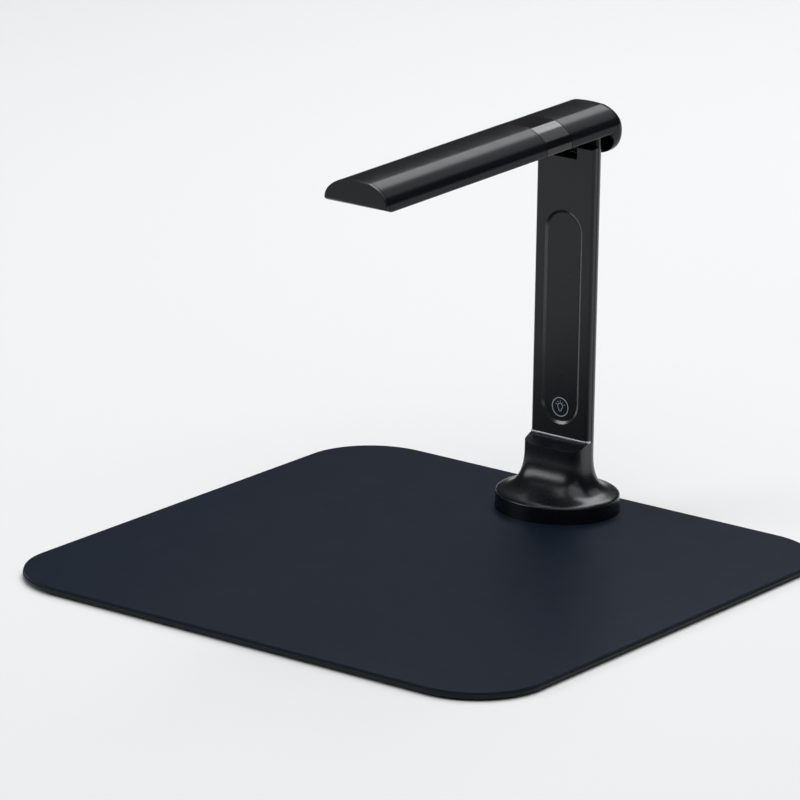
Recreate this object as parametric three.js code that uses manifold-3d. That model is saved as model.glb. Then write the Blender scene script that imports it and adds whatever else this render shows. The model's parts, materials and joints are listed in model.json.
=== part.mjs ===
// Desk document camera: a fold-down camera arm on a flat column, on a flared foot and a base board.
// Millimetres, +Z up, +X to the right, the arm reaches towards -Y.
// The origin is the middle of the base board, on the plane that its rubber feet stand on.

import * as THREE from 'three';
import { mergeVertices } from 'three/addons/utils/BufferGeometryUtils.js';
import Module from 'manifold-3d';

const wasm = await Module();
wasm.setup();

// Base board
const board_width = 372;
const board_depth = 362;
const board_corner_radius = 48;
const board_edge_round = 0.7;
const plate_thickness = 2.6;
const mat_thickness = 1.4;
const mat_edge_inset = 0.5;
const pad_radius = 9;
const pad_height = 1.5;
const pad_recess = 0.6;
const pad_edge_distance = 30;

// Fits
const running_gap = 0.3;
const seam_gap = 0.3;
const overrun = 1;

// Foot
const foot_back_margin = 40;
const foot_half_width = 39.5;
const foot_half_depth = 37;
const foot_rim_height = 9.2;
const flare_lower_height = 14.6;
const flare_upper_height = 7.4;
const neck_base_height = 36.5;
const neck_front_reach = 10;
const neck_corner_power = 6.5;
const foot_wall = 2.2;
const ledge_drop = 4.2;
const bottom_plate_thickness = 1.6;
const ballast_thickness = 4;
const ballast_margin = 3;
const circuit_thickness = 1.6;
const standoff_height = 1.4;
const standoff_radius = 2.4;
const boss_radius = 3.6;
const foot_screw_radius = 1.5;
const foot_screw_head_radius = 3;
const foot_screw_head_height = 1.6;
const foot_screw_depth = 10;
const foot_screw_x = 21;
const foot_screw_y = 19;

// Data socket in the back of the foot
const socket_width = 9;
const socket_height = 3.3;
const socket_length = 7.4;
const socket_wall = 0.35;
const socket_tongue_thickness = 0.7;
const main_board_width = 42;
const main_board_depth = 16;
const main_board_margin = 4;
const main_board_clearance = 1.4;
const chip_size = 9;
const chip_height = 1;

// Column
const column_width = 43;
const front_shell_depth = 4;
const rear_shell_depth = 14;
const column_wall = 1.8;
const column_edge_round = 1.8;
const lip_height = 46;
const lip_thickness = 1.5;
const lip_proud = 0.5;
const ear_top_height = 231.9;
const ear_edge_chamfer = 1.1;
const notch_bottom_height = 223.4;
const notch_width = 17.2;
const recess_width = 28;
const recess_bottom_height = 53.5;
const recess_top_height = 190.3;
const recess_depth = 0.9;
const recess_bevel = 1.8;
const panel_thickness = 0.5;
const touch_board_thickness = 1;
const touch_board_length = 22;
const touch_board_margin = 4;

// Steel spine that carries the hinge
const spine_thickness = 1.8;
const spine_front_gap = 1.2;
const spine_half_width = 12.2;
const spine_ear_radius = 4.3;
const spine_flange_depth = 7;
const shell_screw_radius = 1.3;
const shell_screw_head_radius = 2.6;
const shell_screw_head_depth = 1.4;
const shell_screw_lower_height = 74;
const shell_screw_upper_height = 200;
const cable_radius = 1.5;

// Hinge
const pivot_setback = 9;
const pivot_height = 234;
const pin_radius = 2;
const pin_head_radius = 3.3;
const pin_head_height = 1.4;
const nut_height = 2;
const barrel_radius = 7.5;
const washer_radius = 5.6;
const washer_thickness = 0.9;
const rear_ear_radius = 8.4;

// Arm: its own frame has the hinge axis as origin, and it reaches along -Y
const arm_droop_degrees = 1.3;
const arm_half_width = 23;
const arm_side_height = 4.1;
const arm_crown_height = 13.6;
const arm_crown_power = 1.85;
const crease_half_width = 10;
const crease_rise = 0.55;
const arm_underside = 4.1;
const arm_corner_round = 1.5;
const arm_wall = 1.8;
const arm_side_wall = 1.15;
const cap_thickness = 2.6;
const cap_edge_round = 0.6;
const bow_length = 9.5;
const bow_height = 4.1;
const band_far_distance = 60;
const band_near_distance = 34.5;
const hood_radius = 15.6;
const hood_depth = 12;
const hood_center_distance = 12.4;
const hood_end_power = 2.7;
const hood_end_degrees = -178;
const hood_arch_round = 6;
const hood_back_gap = 0.8;
const cover_thickness = 1.6;
const cover_open_distance = 31;

// Frame, camera and lamp in the arm
const frame_plate_height = 9.6;
const frame_plate_thickness = 1.2;
const frame_half_width = 13;
const frame_back_distance = 4;
const frame_front_margin = 6;
const barrel_neck_half_depth = 4.5;
const lens_distance = 192;
const lens_to_tip = 27.5;
const lens_window_radius = 8;
const lens_window_thickness = 1;
const lens_barrel_radius = 5;
const lens_barrel_length = 3;
const lens_glass_radius = 3.4;
const camera_body_half = 10;
const camera_flange = 2.5;
const camera_flange_thickness = 1;
const sensor_board_thickness = 1;
const lamp_to_lens = 22;
const lamp_length = 58;
const lamp_half_width = 6.5;
const lamp_flange = 1.2;
const lamp_board_thickness = 0.8;
const cover_screw_radius = 1.2;
const cover_screw_head_radius = 2.3;
const cover_screw_head_height = 1;
const cover_screw_x = 8.5;
const cover_screw_near_distance = 52;
const cover_screw_to_lamp = 16;
const spacer_radius = 2.6;

// Shares: of a screw head's radius, of the socket's half height, of the way between the screws, of the cable
const drive_length_share = 0.6;
const drive_width_share = 0.16;
const socket_round_share = 0.98;
const frame_slot_shares = [0.35, 0.65];
const arm_cable_shares = [0.85, 0.4];

// Facets
const merge_distance = 0.0001;
const board_corner_steps = 10;
const round_steps = 20;
const foot_steps = 48;
const flare_steps = 8;
const crown_steps = 22;
const hood_steps = 16;
const small_steps = 12;
const corner_steps = 4;
const cable_steps = 20;
const cable_sides = 8;
const nut_sides = 6;

// Worked-out heights and places. Device heights start at the mat's top face, as seen on the object.
const board_top = pad_height + plate_thickness + mat_thickness;
const foot_floor = -mat_thickness;
const column_front = board_depth / 2 - foot_back_margin;
const column_half = column_width / 2;
const notch_half = notch_width / 2;
const column_depth = front_shell_depth + rear_shell_depth;
const neck_top = lip_height - lip_thickness;
const plate_top = foot_floor + bottom_plate_thickness;
const ballast_top = plate_top + ballast_thickness;
const main_board_floor = ballast_top + standoff_height;
const main_board_top = main_board_floor + circuit_thickness;
const spine_front = front_shell_depth + spine_front_gap;
const spine_back = pivot_setback + spine_ear_radius;
const cheek_inner = spine_half_width - spine_thickness;
const arm_reach = lens_distance + lens_to_tip;
const lamp_far_distance = lens_distance - lamp_to_lens;
const lamp_near_distance = lamp_far_distance - lamp_length;
const cover_screw_far_distance = lamp_near_distance - cover_screw_to_lamp;
const arm_top = arm_underside + arm_side_height + crownAt(0);
const hood_center_height = arm_top - hood_radius;
const frame_plate_top = frame_plate_height + frame_plate_thickness;
const cover_top = arm_underside + cover_thickness;

// Materials
const finishes = {
  board: { color: 0x1d2024, roughness: 0.78, metalness: 0 },
  mat: { color: 0x2a2f36, roughness: 0.62, metalness: 0 },
  rubber: { color: 0x141414, roughness: 0.9, metalness: 0 },
  satin: { color: 0x17181b, roughness: 0.38, metalness: 0 },
  panel: { color: 0x1c1d20, roughness: 0.3, metalness: 0 },
  gloss: { color: 0x08080a, roughness: 0.08, metalness: 0 },
  bright: { color: 0x9a9fa6, roughness: 0.25, metalness: 0.9 },
  steel: { color: 0xa6a9ad, roughness: 0.35, metalness: 1 },
  zinc: { color: 0x8b8f94, roughness: 0.45, metalness: 1 },
  cast: { color: 0x2a2c30, roughness: 0.5, metalness: 0.5 },
  brass: { color: 0xb08d4c, roughness: 0.35, metalness: 1 },
  circuit: { color: 0x0f4a2c, roughness: 0.55, metalness: 0 },
  lamp: { color: 0xf2f2ec, roughness: 0.6, metalness: 0 },
  glass: { color: 0x20242a, roughness: 0.03, metalness: 0 },
};

const document_camera = new THREE.Group();
const device = new THREE.Group();
device.position.set(0, column_front, board_top);
const arm = new THREE.Group();
arm.position.set(0, pivot_setback, pivot_height);
arm.rotation.x = THREE.MathUtils.degToRad(arm_droop_degrees);
device.add(arm);
document_camera.add(device);

// Solids and booleans

function solid(geometry) {
  const bare = geometry.index ? geometry.toNonIndexed() : geometry.clone();
  bare.deleteAttribute('normal');
  bare.deleteAttribute('uv');
  const merged = mergeVertices(bare, merge_distance);
  return new wasm.Manifold(new wasm.Mesh({
    numProp: 3,
    vertProperties: new Float32Array(merged.attributes.position.array),
    triVerts: new Uint32Array(merged.index.array),
  }));
}

function join(first, ...others) {
  return others.reduce((whole, piece) => whole.add(piece), first);
}

function cut(first, ...others) {
  return others.reduce((whole, piece) => whole.subtract(piece), first);
}

function place(group, name, body, finish) {
  const mesh = body.getMesh();
  const geometry = new THREE.BufferGeometry();
  geometry.setAttribute('position', new THREE.BufferAttribute(new Float32Array(mesh.vertProperties), 3));
  geometry.setIndex(new THREE.BufferAttribute(new Uint32Array(mesh.triVerts), 1));
  geometry.computeVertexNormals();
  const piece = new THREE.Mesh(geometry, new THREE.MeshStandardMaterial(finishes[finish]));
  piece.name = name;
  group.add(piece);
}

// Extrusions along each axis

function extrusion(shape, depth, steps) {
  return new THREE.ExtrudeGeometry(shape, { depth, bevelEnabled: false, curveSegments: steps });
}

function alongZ(shape, low, high, steps = round_steps) {
  const geometry = extrusion(shape, high - low, steps);
  geometry.translate(0, 0, low);
  return solid(geometry);
}

// The shape's own x and y become Y and Z.
function alongX(shape, low, high, steps = round_steps) {
  const geometry = extrusion(shape, high - low, steps);
  const turn = new THREE.Matrix4().makeBasis(
    new THREE.Vector3(0, 1, 0), new THREE.Vector3(0, 0, 1), new THREE.Vector3(1, 0, 0));
  geometry.applyMatrix4(turn);
  geometry.translate(low, 0, 0);
  return solid(geometry);
}

// The shape's own x and y become X and Z.
function alongY(shape, low, high, steps = round_steps) {
  const geometry = extrusion(shape, high - low, steps);
  geometry.rotateX(Math.PI / 2);
  geometry.translate(0, high, 0);
  return solid(geometry);
}

function box(low_x, high_x, low_y, high_y, low_z, high_z) {
  const geometry = new THREE.BoxGeometry(high_x - low_x, high_y - low_y, high_z - low_z);
  geometry.translate((low_x + high_x) / 2, (low_y + high_y) / 2, (low_z + high_z) / 2);
  return solid(geometry);
}

function discZ(x, y, radius, low, high, steps = small_steps) {
  const geometry = new THREE.CylinderGeometry(radius, radius, high - low, steps);
  geometry.rotateX(Math.PI / 2);
  geometry.translate(x, y, (low + high) / 2);
  return solid(geometry);
}

function discX(y, z, radius, low, high, steps = round_steps) {
  const geometry = new THREE.CylinderGeometry(radius, radius, high - low, steps);
  geometry.rotateZ(Math.PI / 2);
  geometry.translate((low + high) / 2, y, z);
  return solid(geometry);
}

function discY(x, z, radius, low, high, steps = small_steps) {
  const geometry = new THREE.CylinderGeometry(radius, radius, high - low, steps);
  geometry.translate(x, (low + high) / 2, z);
  return solid(geometry);
}

function fromTriangles(triangles) {
  return solid(new THREE.BufferGeometry().setFromPoints(triangles.flat()));
}

// A solid between equally long rings of points, closed by a fan at each end.
function loft(rings) {
  const count = rings[0].length;
  const triangles = [];
  for (let ring = 0; ring + 1 < rings.length; ring += 1) {
    for (let i = 0; i < count; i += 1) {
      const next = (i + 1) % count;
      triangles.push([rings[ring][i], rings[ring][next], rings[ring + 1][next]]);
      triangles.push([rings[ring][i], rings[ring + 1][next], rings[ring + 1][i]]);
    }
  }
  const sum = (ring) => ring.reduce((total, point) => total.add(point), new THREE.Vector3());
  const first = rings[0];
  const last = rings[rings.length - 1];
  const first_middle = sum(first).divideScalar(count);
  const last_middle = sum(last).divideScalar(count);
  for (let i = 0; i < count; i += 1) {
    const next = (i + 1) % count;
    triangles.push([first_middle, first[next], first[i]]);
    triangles.push([last_middle, last[i], last[next]]);
  }
  return fromTriangles(triangles);
}

// Outlines

function roundedRectangle(half_x, half_y, radius) {
  const shape = new THREE.Shape();
  shape.moveTo(-half_x + radius, -half_y);
  shape.lineTo(half_x - radius, -half_y);
  shape.absarc(half_x - radius, -half_y + radius, radius, -Math.PI / 2, 0, false);
  shape.absarc(half_x - radius, half_y - radius, radius, 0, Math.PI / 2, false);
  shape.absarc(-half_x + radius, half_y - radius, radius, Math.PI / 2, Math.PI, false);
  shape.absarc(-half_x + radius, -half_y + radius, radius, Math.PI, Math.PI * 1.5, false);
  return shape;
}

function apart(point, other) {
  return point.distanceTo(other) > 10 * merge_distance;
}

// A rounded plate whose edges are softened by a narrow chamfer.
function softPlate(half_x, half_y, radius, low, high, soft) {
  const ring = (inset, z) => roundedRectangle(half_x - inset, half_y - inset, radius - inset)
    .getPoints(board_corner_steps)
    .filter((point, i, all) => i === 0 || (apart(point, all[i - 1]) && apart(point, all[0])))
    .map((point) => new THREE.Vector3(point.x, point.y, z));
  return loft([ring(soft, low), ring(0, low + soft), ring(0, high - soft), ring(soft, high)]);
}

function stadium(half_width, low, high) {
  const shape = new THREE.Shape();
  shape.absarc(0, high - half_width, half_width, 0, Math.PI, false);
  shape.absarc(0, low + half_width, half_width, Math.PI, Math.PI * 2, false);
  return shape;
}

function ellipseShape(half_x, half_y) {
  const shape = new THREE.Shape();
  shape.absellipse(0, 0, half_x, half_y, 0, Math.PI * 2, false, 0);
  return shape;
}

// Height of the arm's crown above its straight sides, at a distance from the middle line.
function crownAt(x, half_width = arm_half_width, height = arm_crown_height) {
  const curve = (place) => height * (1 - (place / half_width) ** arm_crown_power) ** (1 / arm_crown_power);
  const away = Math.min(Math.abs(x), half_width);
  const crease = crease_half_width * half_width / arm_half_width;
  if (away < crease) {
    return curve(crease) + crease_rise * (1 - (away / crease) ** 2);
  }
  return curve(away);
}

// Places across the arm, closer together where the crown is steep, with both creases among them.
function crownPlaces(half_width) {
  const crease = crease_half_width * half_width / arm_half_width;
  const side_steps = crown_steps / 2 - 4;
  const places = [];
  for (let i = 0; i < side_steps; i += 1) {
    const angle = (i / side_steps) * Math.acos(crease / half_width);
    places.push(half_width * Math.cos(angle));
  }
  places.push(crease, crease / 2);
  return [...places, 0, ...places.toReversed().map((x) => -x)];
}

// Points of the arm's section, with its lower corners rounded where a corner radius is given.
function armPoints(half_width, floor, side_top, crown_height, corner) {
  const points = [];
  for (const side of [-1, 1]) {
    for (let i = 0; i <= corner_steps && corner > 0; i += 1) {
      const angle = (i / corner_steps) * Math.PI / 2;
      const [across, down] = side < 0 ? [Math.cos(angle), Math.sin(angle)] : [Math.sin(angle), Math.cos(angle)];
      points.push(new THREE.Vector2(
        side * (half_width - corner + corner * across), floor + corner - corner * down));
    }
  }
  if (corner <= 0) {
    points.push(new THREE.Vector2(-half_width, floor), new THREE.Vector2(half_width, floor));
  }
  for (const x of crownPlaces(half_width)) {
    points.push(new THREE.Vector2(x, side_top + crownAt(x, half_width, crown_height)));
  }
  return points;
}

function outerSection() {
  return new THREE.Shape(armPoints(arm_half_width, arm_underside, arm_underside + arm_side_height,
    arm_crown_height, arm_corner_round));
}

function innerSection() {
  return new THREE.Shape(armPoints(arm_half_width - arm_side_wall, arm_underside - overrun,
    arm_underside + arm_side_height, arm_crown_height - arm_wall, 0));
}

// Base board, its mat and rubber pads

const foot_screw_places = [
  [-foot_screw_x, -foot_screw_y], [foot_screw_x, -foot_screw_y],
  [-foot_screw_x, foot_screw_y], [foot_screw_x, foot_screw_y],
];

function padPlaces() {
  const x = board_width / 2 - pad_edge_distance;
  const y = board_depth / 2 - pad_edge_distance;
  return [[-x, -y], [x, -y], [-x, 0], [x, 0], [-x, y], [x, y]];
}

function baseBoard() {
  const pads = padPlaces().map(([x, y]) => discZ(
    x, y, pad_radius + running_gap, pad_height - overrun, pad_height + pad_recess, round_steps));
  const holes = foot_screw_places.flatMap(([x, y]) => [
    discZ(x, column_front + y, foot_screw_radius + running_gap, pad_height - overrun, board_top),
    discZ(x, column_front + y, foot_screw_head_radius + running_gap,
      pad_height - overrun, pad_height + foot_screw_head_height),
  ]);
  const plate = softPlate(board_width / 2, board_depth / 2, board_corner_radius,
    pad_height, pad_height + plate_thickness, board_edge_round);
  return cut(plate, ...pads, ...holes);
}

function boardMat() {
  const low = pad_height + plate_thickness;
  const plate = softPlate(board_width / 2 - mat_edge_inset, board_depth / 2 - mat_edge_inset,
    board_corner_radius - mat_edge_inset, low, low + mat_thickness, mat_thickness / 4);
  const opening = alongZ(
    ellipseShape(foot_half_width + running_gap, foot_half_depth + running_gap),
    low - overrun, board_top + overrun).translate([0, column_front, 0]);
  return cut(plate, opening);
}

place(document_camera, 'base_board', baseBoard(), 'board');
place(document_camera, 'board_mat', boardMat(), 'mat');
padPlaces().forEach(([x, y], i) => {
  const pad = discZ(x, y, pad_radius, 0, pad_height + pad_recess, round_steps);
  place(document_camera, `rubber_pad_${i + 1}`, pad, 'rubber');
});

// Foot: the neck's plan flows into the wide base's plan along an S-shaped flare

function signedPower(value, power) {
  return Math.sign(value) * Math.abs(value) ** power;
}

function neckPoint(angle, half_width, front_reach, back_depth) {
  const c = Math.cos(angle);
  const s = Math.sin(angle);
  if (s >= 0) {
    return [half_width * c, front_shell_depth + back_depth * s];
  }
  const power = 2 / neck_corner_power;
  return [half_width * signedPower(c, power), front_shell_depth + front_reach * signedPower(s, power)];
}

function footRing(share, z, wall, front_reach) {
  const points = [];
  for (let i = 0; i < foot_steps; i += 1) {
    const angle = (i / foot_steps) * Math.PI * 2;
    const [neck_x, neck_y] = neckPoint(angle, column_half - wall, front_reach, rear_shell_depth - wall);
    const base_x = (foot_half_width - wall) * Math.cos(angle);
    const base_y = (foot_half_depth - wall) * Math.sin(angle);
    points.push(new THREE.Vector3(
      neck_x + (base_x - neck_x) * share, neck_y + (base_y - neck_y) * share, z));
  }
  return points;
}

function footBody(floor, top, wall, front_reach, drop) {
  const rings = [footRing(1, floor, wall, front_reach)];
  for (let i = 0; i <= flare_steps; i += 1) {
    const t = i / flare_steps;
    const share = 1 - (3 * t * t - 2 * t * t * t);
    const height = foot_rim_height * (1 - t) ** 3
      + 3 * flare_lower_height * t * (1 - t) ** 2
      + 3 * flare_upper_height * t ** 2 * (1 - t)
      + neck_base_height * t ** 3;
    rings.push(footRing(share, height - drop, wall, front_reach));
  }
  rings.push(footRing(0, top, wall, front_reach));
  return loft(rings);
}

function footHousing() {
  const outer = footBody(foot_floor, neck_top, 0, front_shell_depth + neck_front_reach, 0);
  const inner = footBody(
    foot_floor - overrun, neck_top + overrun, foot_wall, front_shell_depth - column_wall, foot_wall);
  const ledge = new THREE.Shape([
    new THREE.Vector2(0, neck_top),
    new THREE.Vector2(0, neck_top + overrun),
    new THREE.Vector2(-2 * neck_front_reach, neck_top + overrun),
    new THREE.Vector2(-2 * neck_front_reach, neck_top - 2 * ledge_drop),
  ]);
  const bosses = foot_screw_places.map(([x, y]) => discZ(
    x, y, boss_radius, plate_top, foot_screw_depth + foot_wall).intersect(outer));
  const holes = foot_screw_places.map(([x, y]) => discZ(
    x, y, foot_screw_radius + running_gap, foot_floor - overrun, foot_screw_depth));
  const slot_shape = roundedRectangle(
    socket_width / 2 + running_gap, socket_height / 2 + running_gap, socket_height / 2);
  const slot = alongY(slot_shape, foot_half_depth / 2, foot_half_depth + overrun, corner_steps)
    .translate([0, 0, main_board_top + socket_height / 2]);
  const shell = cut(outer, inner, alongX(ledge, -foot_half_width, foot_half_width));
  return cut(join(shell, ...bosses), ...holes, slot);
}

function footBottomPlate() {
  const plate = alongZ(
    ellipseShape(foot_half_width - foot_wall - running_gap, foot_half_depth - foot_wall - running_gap),
    foot_floor, plate_top);
  const holes = foot_screw_places.map(([x, y]) => discZ(
    x, y, foot_screw_radius + running_gap, foot_floor - overrun, plate_top + overrun));
  return cut(plate, ...holes);
}

function footScrew(x, y) {
  const floor = foot_floor - plate_thickness;
  const head = discZ(x, y, foot_screw_head_radius, floor, floor + foot_screw_head_height - running_gap);
  const shank = discZ(x, y, foot_screw_radius, floor, foot_screw_depth - running_gap);
  const drive = alongZ(
    crossShape(foot_screw_head_radius), floor - overrun, floor + foot_screw_head_height / 2)
    .translate([x, y, 0]);
  return cut(join(head, shank), drive);
}

// A screw's cross slot.
function crossShape(head_radius) {
  const long = head_radius * drive_length_share;
  const short = head_radius * drive_width_share;
  const corners = [
    [short, short], [short, long], [-short, long], [-short, short], [-long, short], [-long, -short],
    [-short, -short], [-short, -long], [short, -long], [short, -short], [long, -short], [long, short],
  ];
  return new THREE.Shape(corners.map(([x, y]) => new THREE.Vector2(x, y)));
}

const spine_clear_low = spine_front - running_gap;
const spine_clear_high = spine_back + running_gap;

function ballastPlate() {
  const margin = foot_wall + ballast_margin;
  const slab = alongZ(
    ellipseShape(foot_half_width - margin, foot_half_depth - margin), plate_top, ballast_top);
  const standoffs = mainBoardCorners().map(([x, y]) => discZ(
    x, y, standoff_radius, plate_top, main_board_floor));
  const bosses = foot_screw_places.map(([x, y]) => discZ(
    x, y, boss_radius + running_gap, plate_top - overrun, ballast_top + overrun));
  const spine = box(-spine_half_width - running_gap, spine_half_width + running_gap,
    spine_clear_low, spine_clear_high, plate_top - overrun, ballast_top + overrun);
  return cut(join(slab, ...standoffs), ...bosses, spine);
}

// The main circuit board lies behind the spine, clear of the screw bosses.
const main_board_back = foot_half_depth - foot_wall - main_board_margin;
const main_board_front = main_board_back - main_board_depth;

function mainBoardCorners() {
  const x = main_board_width / 4 - standoff_radius;
  const y_low = main_board_front + standoff_radius;
  const y_high = main_board_back - standoff_radius;
  return [[-x, y_low], [x, y_low], [-x, y_high], [x, y_high]];
}

function mainCircuitBoard() {
  const plate = box(-main_board_width / 2, main_board_width / 2, main_board_front, main_board_back,
    main_board_floor, main_board_top);
  const bosses = foot_screw_places.map(([x, y]) => discZ(
    x, y, boss_radius + running_gap, main_board_floor - overrun, main_board_top + overrun));
  const margin = foot_wall + main_board_clearance;
  const foot_inside = alongZ(ellipseShape(foot_half_width - margin, foot_half_depth - margin),
    main_board_floor - overrun, main_board_top + overrun);
  return cut(plate, ...bosses).intersect(foot_inside);
}

function mainChip() {
  return box(-chip_size / 2, chip_size / 2, main_board_front + chip_height,
    main_board_front + chip_height + chip_size / 2, main_board_top, main_board_top + chip_height);
}

function dataSocket() {
  const back = foot_half_depth - foot_wall / 2;
  const front = back - socket_length;
  const middle = main_board_top + socket_height / 2;
  const tube = (inset, start, end) => {
    const half_height = socket_height / 2 - inset;
    const shape = roundedRectangle(socket_width / 2 - inset, half_height, half_height * socket_round_share);
    return alongY(shape, start, end, corner_steps).translate([0, 0, middle]);
  };
  const can = tube(0, front, back);
  const bore = tube(socket_wall, front + socket_wall, back + overrun);
  const tongue = box(-socket_width / 3, socket_width / 3, front, back - socket_length / 5,
    middle - socket_tongue_thickness / 2, middle + socket_tongue_thickness / 2);
  return join(cut(can, bore), tongue);
}

place(device, 'foot_housing', footHousing(), 'satin');
place(device, 'foot_bottom_plate', footBottomPlate(), 'satin');
place(device, 'ballast_plate', ballastPlate(), 'steel');
place(device, 'main_circuit_board', mainCircuitBoard(), 'circuit');
place(device, 'main_chip', mainChip(), 'gloss');
place(device, 'data_socket', dataSocket(), 'steel');
foot_screw_places.forEach(([x, y], i) => {
  place(device, `foot_screw_${i + 1}`, footScrew(x, y), 'zinc');
});

// Column: a flat front shell and an arched rear shell, with two ears round the hinge

const shell_screw_heights = [shell_screw_lower_height, shell_screw_upper_height];

function frontPlan(inset, back) {
  const half = column_half - inset;
  const round = Math.max(column_edge_round - inset, column_edge_round / 4);
  const shape = new THREE.Shape();
  shape.moveTo(half, back);
  shape.lineTo(-half, back);
  shape.absarc(-half + round, inset + round, round, Math.PI, Math.PI * 1.5, false);
  shape.absarc(half - round, inset + round, round, -Math.PI / 2, 0, false);
  return shape;
}

function rearPlan(inset) {
  const shape = new THREE.Shape();
  shape.absellipse(0, front_shell_depth, column_half - inset, rear_shell_depth - inset, 0, Math.PI, false, 0);
  return shape;
}

function notchBox(grow) {
  return box(-notch_half - grow, notch_half + grow, -overrun, column_depth + overrun,
    notch_bottom_height - grow, pivot_height + 2 * rear_ear_radius);
}

function recessRing(depth, grow) {
  const points = stadium(recess_width / 2 - grow, recess_bottom_height + grow, recess_top_height - grow)
    .getPoints(small_steps);
  return points.slice(0, -1).map((point) => new THREE.Vector3(point.x, depth, point.y));
}

function axleHole() {
  return discX(pivot_setback, pivot_height, washer_radius + running_gap,
    -notch_half - column_wall - running_gap, notch_half + column_wall + running_gap);
}

function frontShell() {
  const outer_plan = frontPlan(0, front_shell_depth);
  const inner_plan = frontPlan(column_wall, front_shell_depth + overrun);
  const outer = cut(alongZ(outer_plan, lip_height, ear_top_height, small_steps), notchBox(0));
  const hollow = cut(
    alongZ(inner_plan, lip_height - overrun, ear_top_height - column_wall, small_steps),
    notchBox(column_wall));
  const recess = loft([
    recessRing(recess_depth, recess_bevel), recessRing(0, 0), recessRing(-overrun, -overrun),
  ]);
  const cable_gap = discY(
    0, recess_bottom_height + recess_width / 2, cable_radius, 0, front_shell_depth);
  const ear_wedge = alongX(new THREE.Shape([
    new THREE.Vector2(-overrun, ear_top_height - ear_edge_chamfer - overrun),
    new THREE.Vector2(ear_edge_chamfer + overrun, ear_top_height + overrun),
    new THREE.Vector2(-overrun, ear_top_height + overrun),
  ]), -column_width, column_width);
  return cut(outer, hollow, recess, cable_gap, axleHole(), ear_wedge);
}

function touchPanel() {
  const margin = recess_bevel + running_gap;
  const shape = stadium(recess_width / 2 - margin, recess_bottom_height + margin, recess_top_height - margin);
  return alongY(shape, recess_depth - panel_thickness, recess_depth, small_steps);
}

function touchCircuitBoard() {
  const half = recess_width / 2 - touch_board_margin;
  const front = column_wall + running_gap;
  const low = recess_bottom_height + touch_board_margin;
  return box(-half, half, front, front + touch_board_thickness, low, low + touch_board_length);
}

function lipTrim() {
  const shape = new THREE.Shape();
  const half = column_half + lip_proud / 2;
  shape.moveTo(half, front_shell_depth - running_gap);
  shape.lineTo(-half, front_shell_depth - running_gap);
  shape.absarc(-half + column_edge_round, -lip_proud + column_edge_round, column_edge_round,
    Math.PI, Math.PI * 1.5, false);
  shape.absarc(half - column_edge_round, -lip_proud + column_edge_round, column_edge_round,
    -Math.PI / 2, 0, false);
  return alongZ(shape, neck_top, lip_height, small_steps);
}

// Side view of the rear shell: straight up, then round the hinge axis.
function rearSide(inset) {
  const radius = rear_ear_radius - inset;
  const shape = new THREE.Shape();
  shape.moveTo(0, neck_top - overrun);
  shape.lineTo(column_depth + overrun, neck_top - overrun);
  shape.lineTo(column_depth + overrun, pivot_height - rear_ear_radius);
  shape.lineTo(pivot_setback + radius, pivot_height - rear_ear_radius);
  shape.lineTo(pivot_setback + radius, pivot_height);
  shape.absarc(pivot_setback, pivot_height, radius, 0, Math.PI, false);
  shape.lineTo(0, pivot_height);
  return shape;
}

function rearShell() {
  const start = front_shell_depth + seam_gap;
  const top = pivot_height + 2 * rear_ear_radius;
  const outer = alongZ(rearPlan(0), neck_top, top, round_steps)
    .subtract(box(-board_width, board_width, -board_width, start, neck_top - overrun, top + overrun))
    .intersect(alongX(rearSide(0), -board_width, board_width));
  const hollow = alongZ(rearPlan(column_wall), neck_top - overrun, top, round_steps)
    .intersect(alongX(rearSide(column_wall), -board_width, board_width));
  const hollow_ears = cut(hollow, notchBox(column_wall));
  const screw_holes = shell_screw_heights.flatMap((z) => [
    discY(0, z, shell_screw_radius + running_gap, spine_front, column_depth + overrun),
    discY(0, z, shell_screw_head_radius + running_gap,
      column_depth - shell_screw_head_depth, column_depth + overrun),
  ]);
  const plan = alongZ(rearPlan(0), neck_top, top);
  const pillars = shell_screw_heights.map((z) => discY(
    0, z, shell_screw_head_radius + column_wall,
    pivot_setback + rear_shell_depth / 4, column_depth - column_wall / 2).intersect(plan));
  return cut(join(cut(outer, hollow_ears, notchBox(0)), ...pillars), axleHole(), ...screw_holes);
}

function shellScrew(z) {
  const head = discY(0, z, shell_screw_head_radius,
    column_depth - shell_screw_head_depth + running_gap, column_depth - running_gap);
  const shank = discY(0, z, shell_screw_radius, spine_front + spine_thickness / 2,
    column_depth - shell_screw_head_depth + running_gap);
  const drive = alongY(
    crossShape(shell_screw_head_radius), column_depth - shell_screw_head_depth, column_depth)
    .translate([0, shell_screw_head_depth / 2, z]);
  return cut(join(head, shank), drive);
}

function spineFlangeShape() {
  const shape = new THREE.Shape();
  shape.moveTo(spine_front, plate_top);
  shape.lineTo(spine_front + spine_flange_depth, plate_top);
  shape.lineTo(spine_front + spine_flange_depth, pivot_height - 2 * spine_ear_radius);
  shape.lineTo(spine_back, pivot_height - spine_ear_radius);
  shape.lineTo(spine_back, pivot_height);
  shape.absarc(pivot_setback, pivot_height, spine_ear_radius, 0, Math.PI, false);
  shape.lineTo(spine_front, pivot_height - spine_ear_radius);
  return shape;
}

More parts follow.
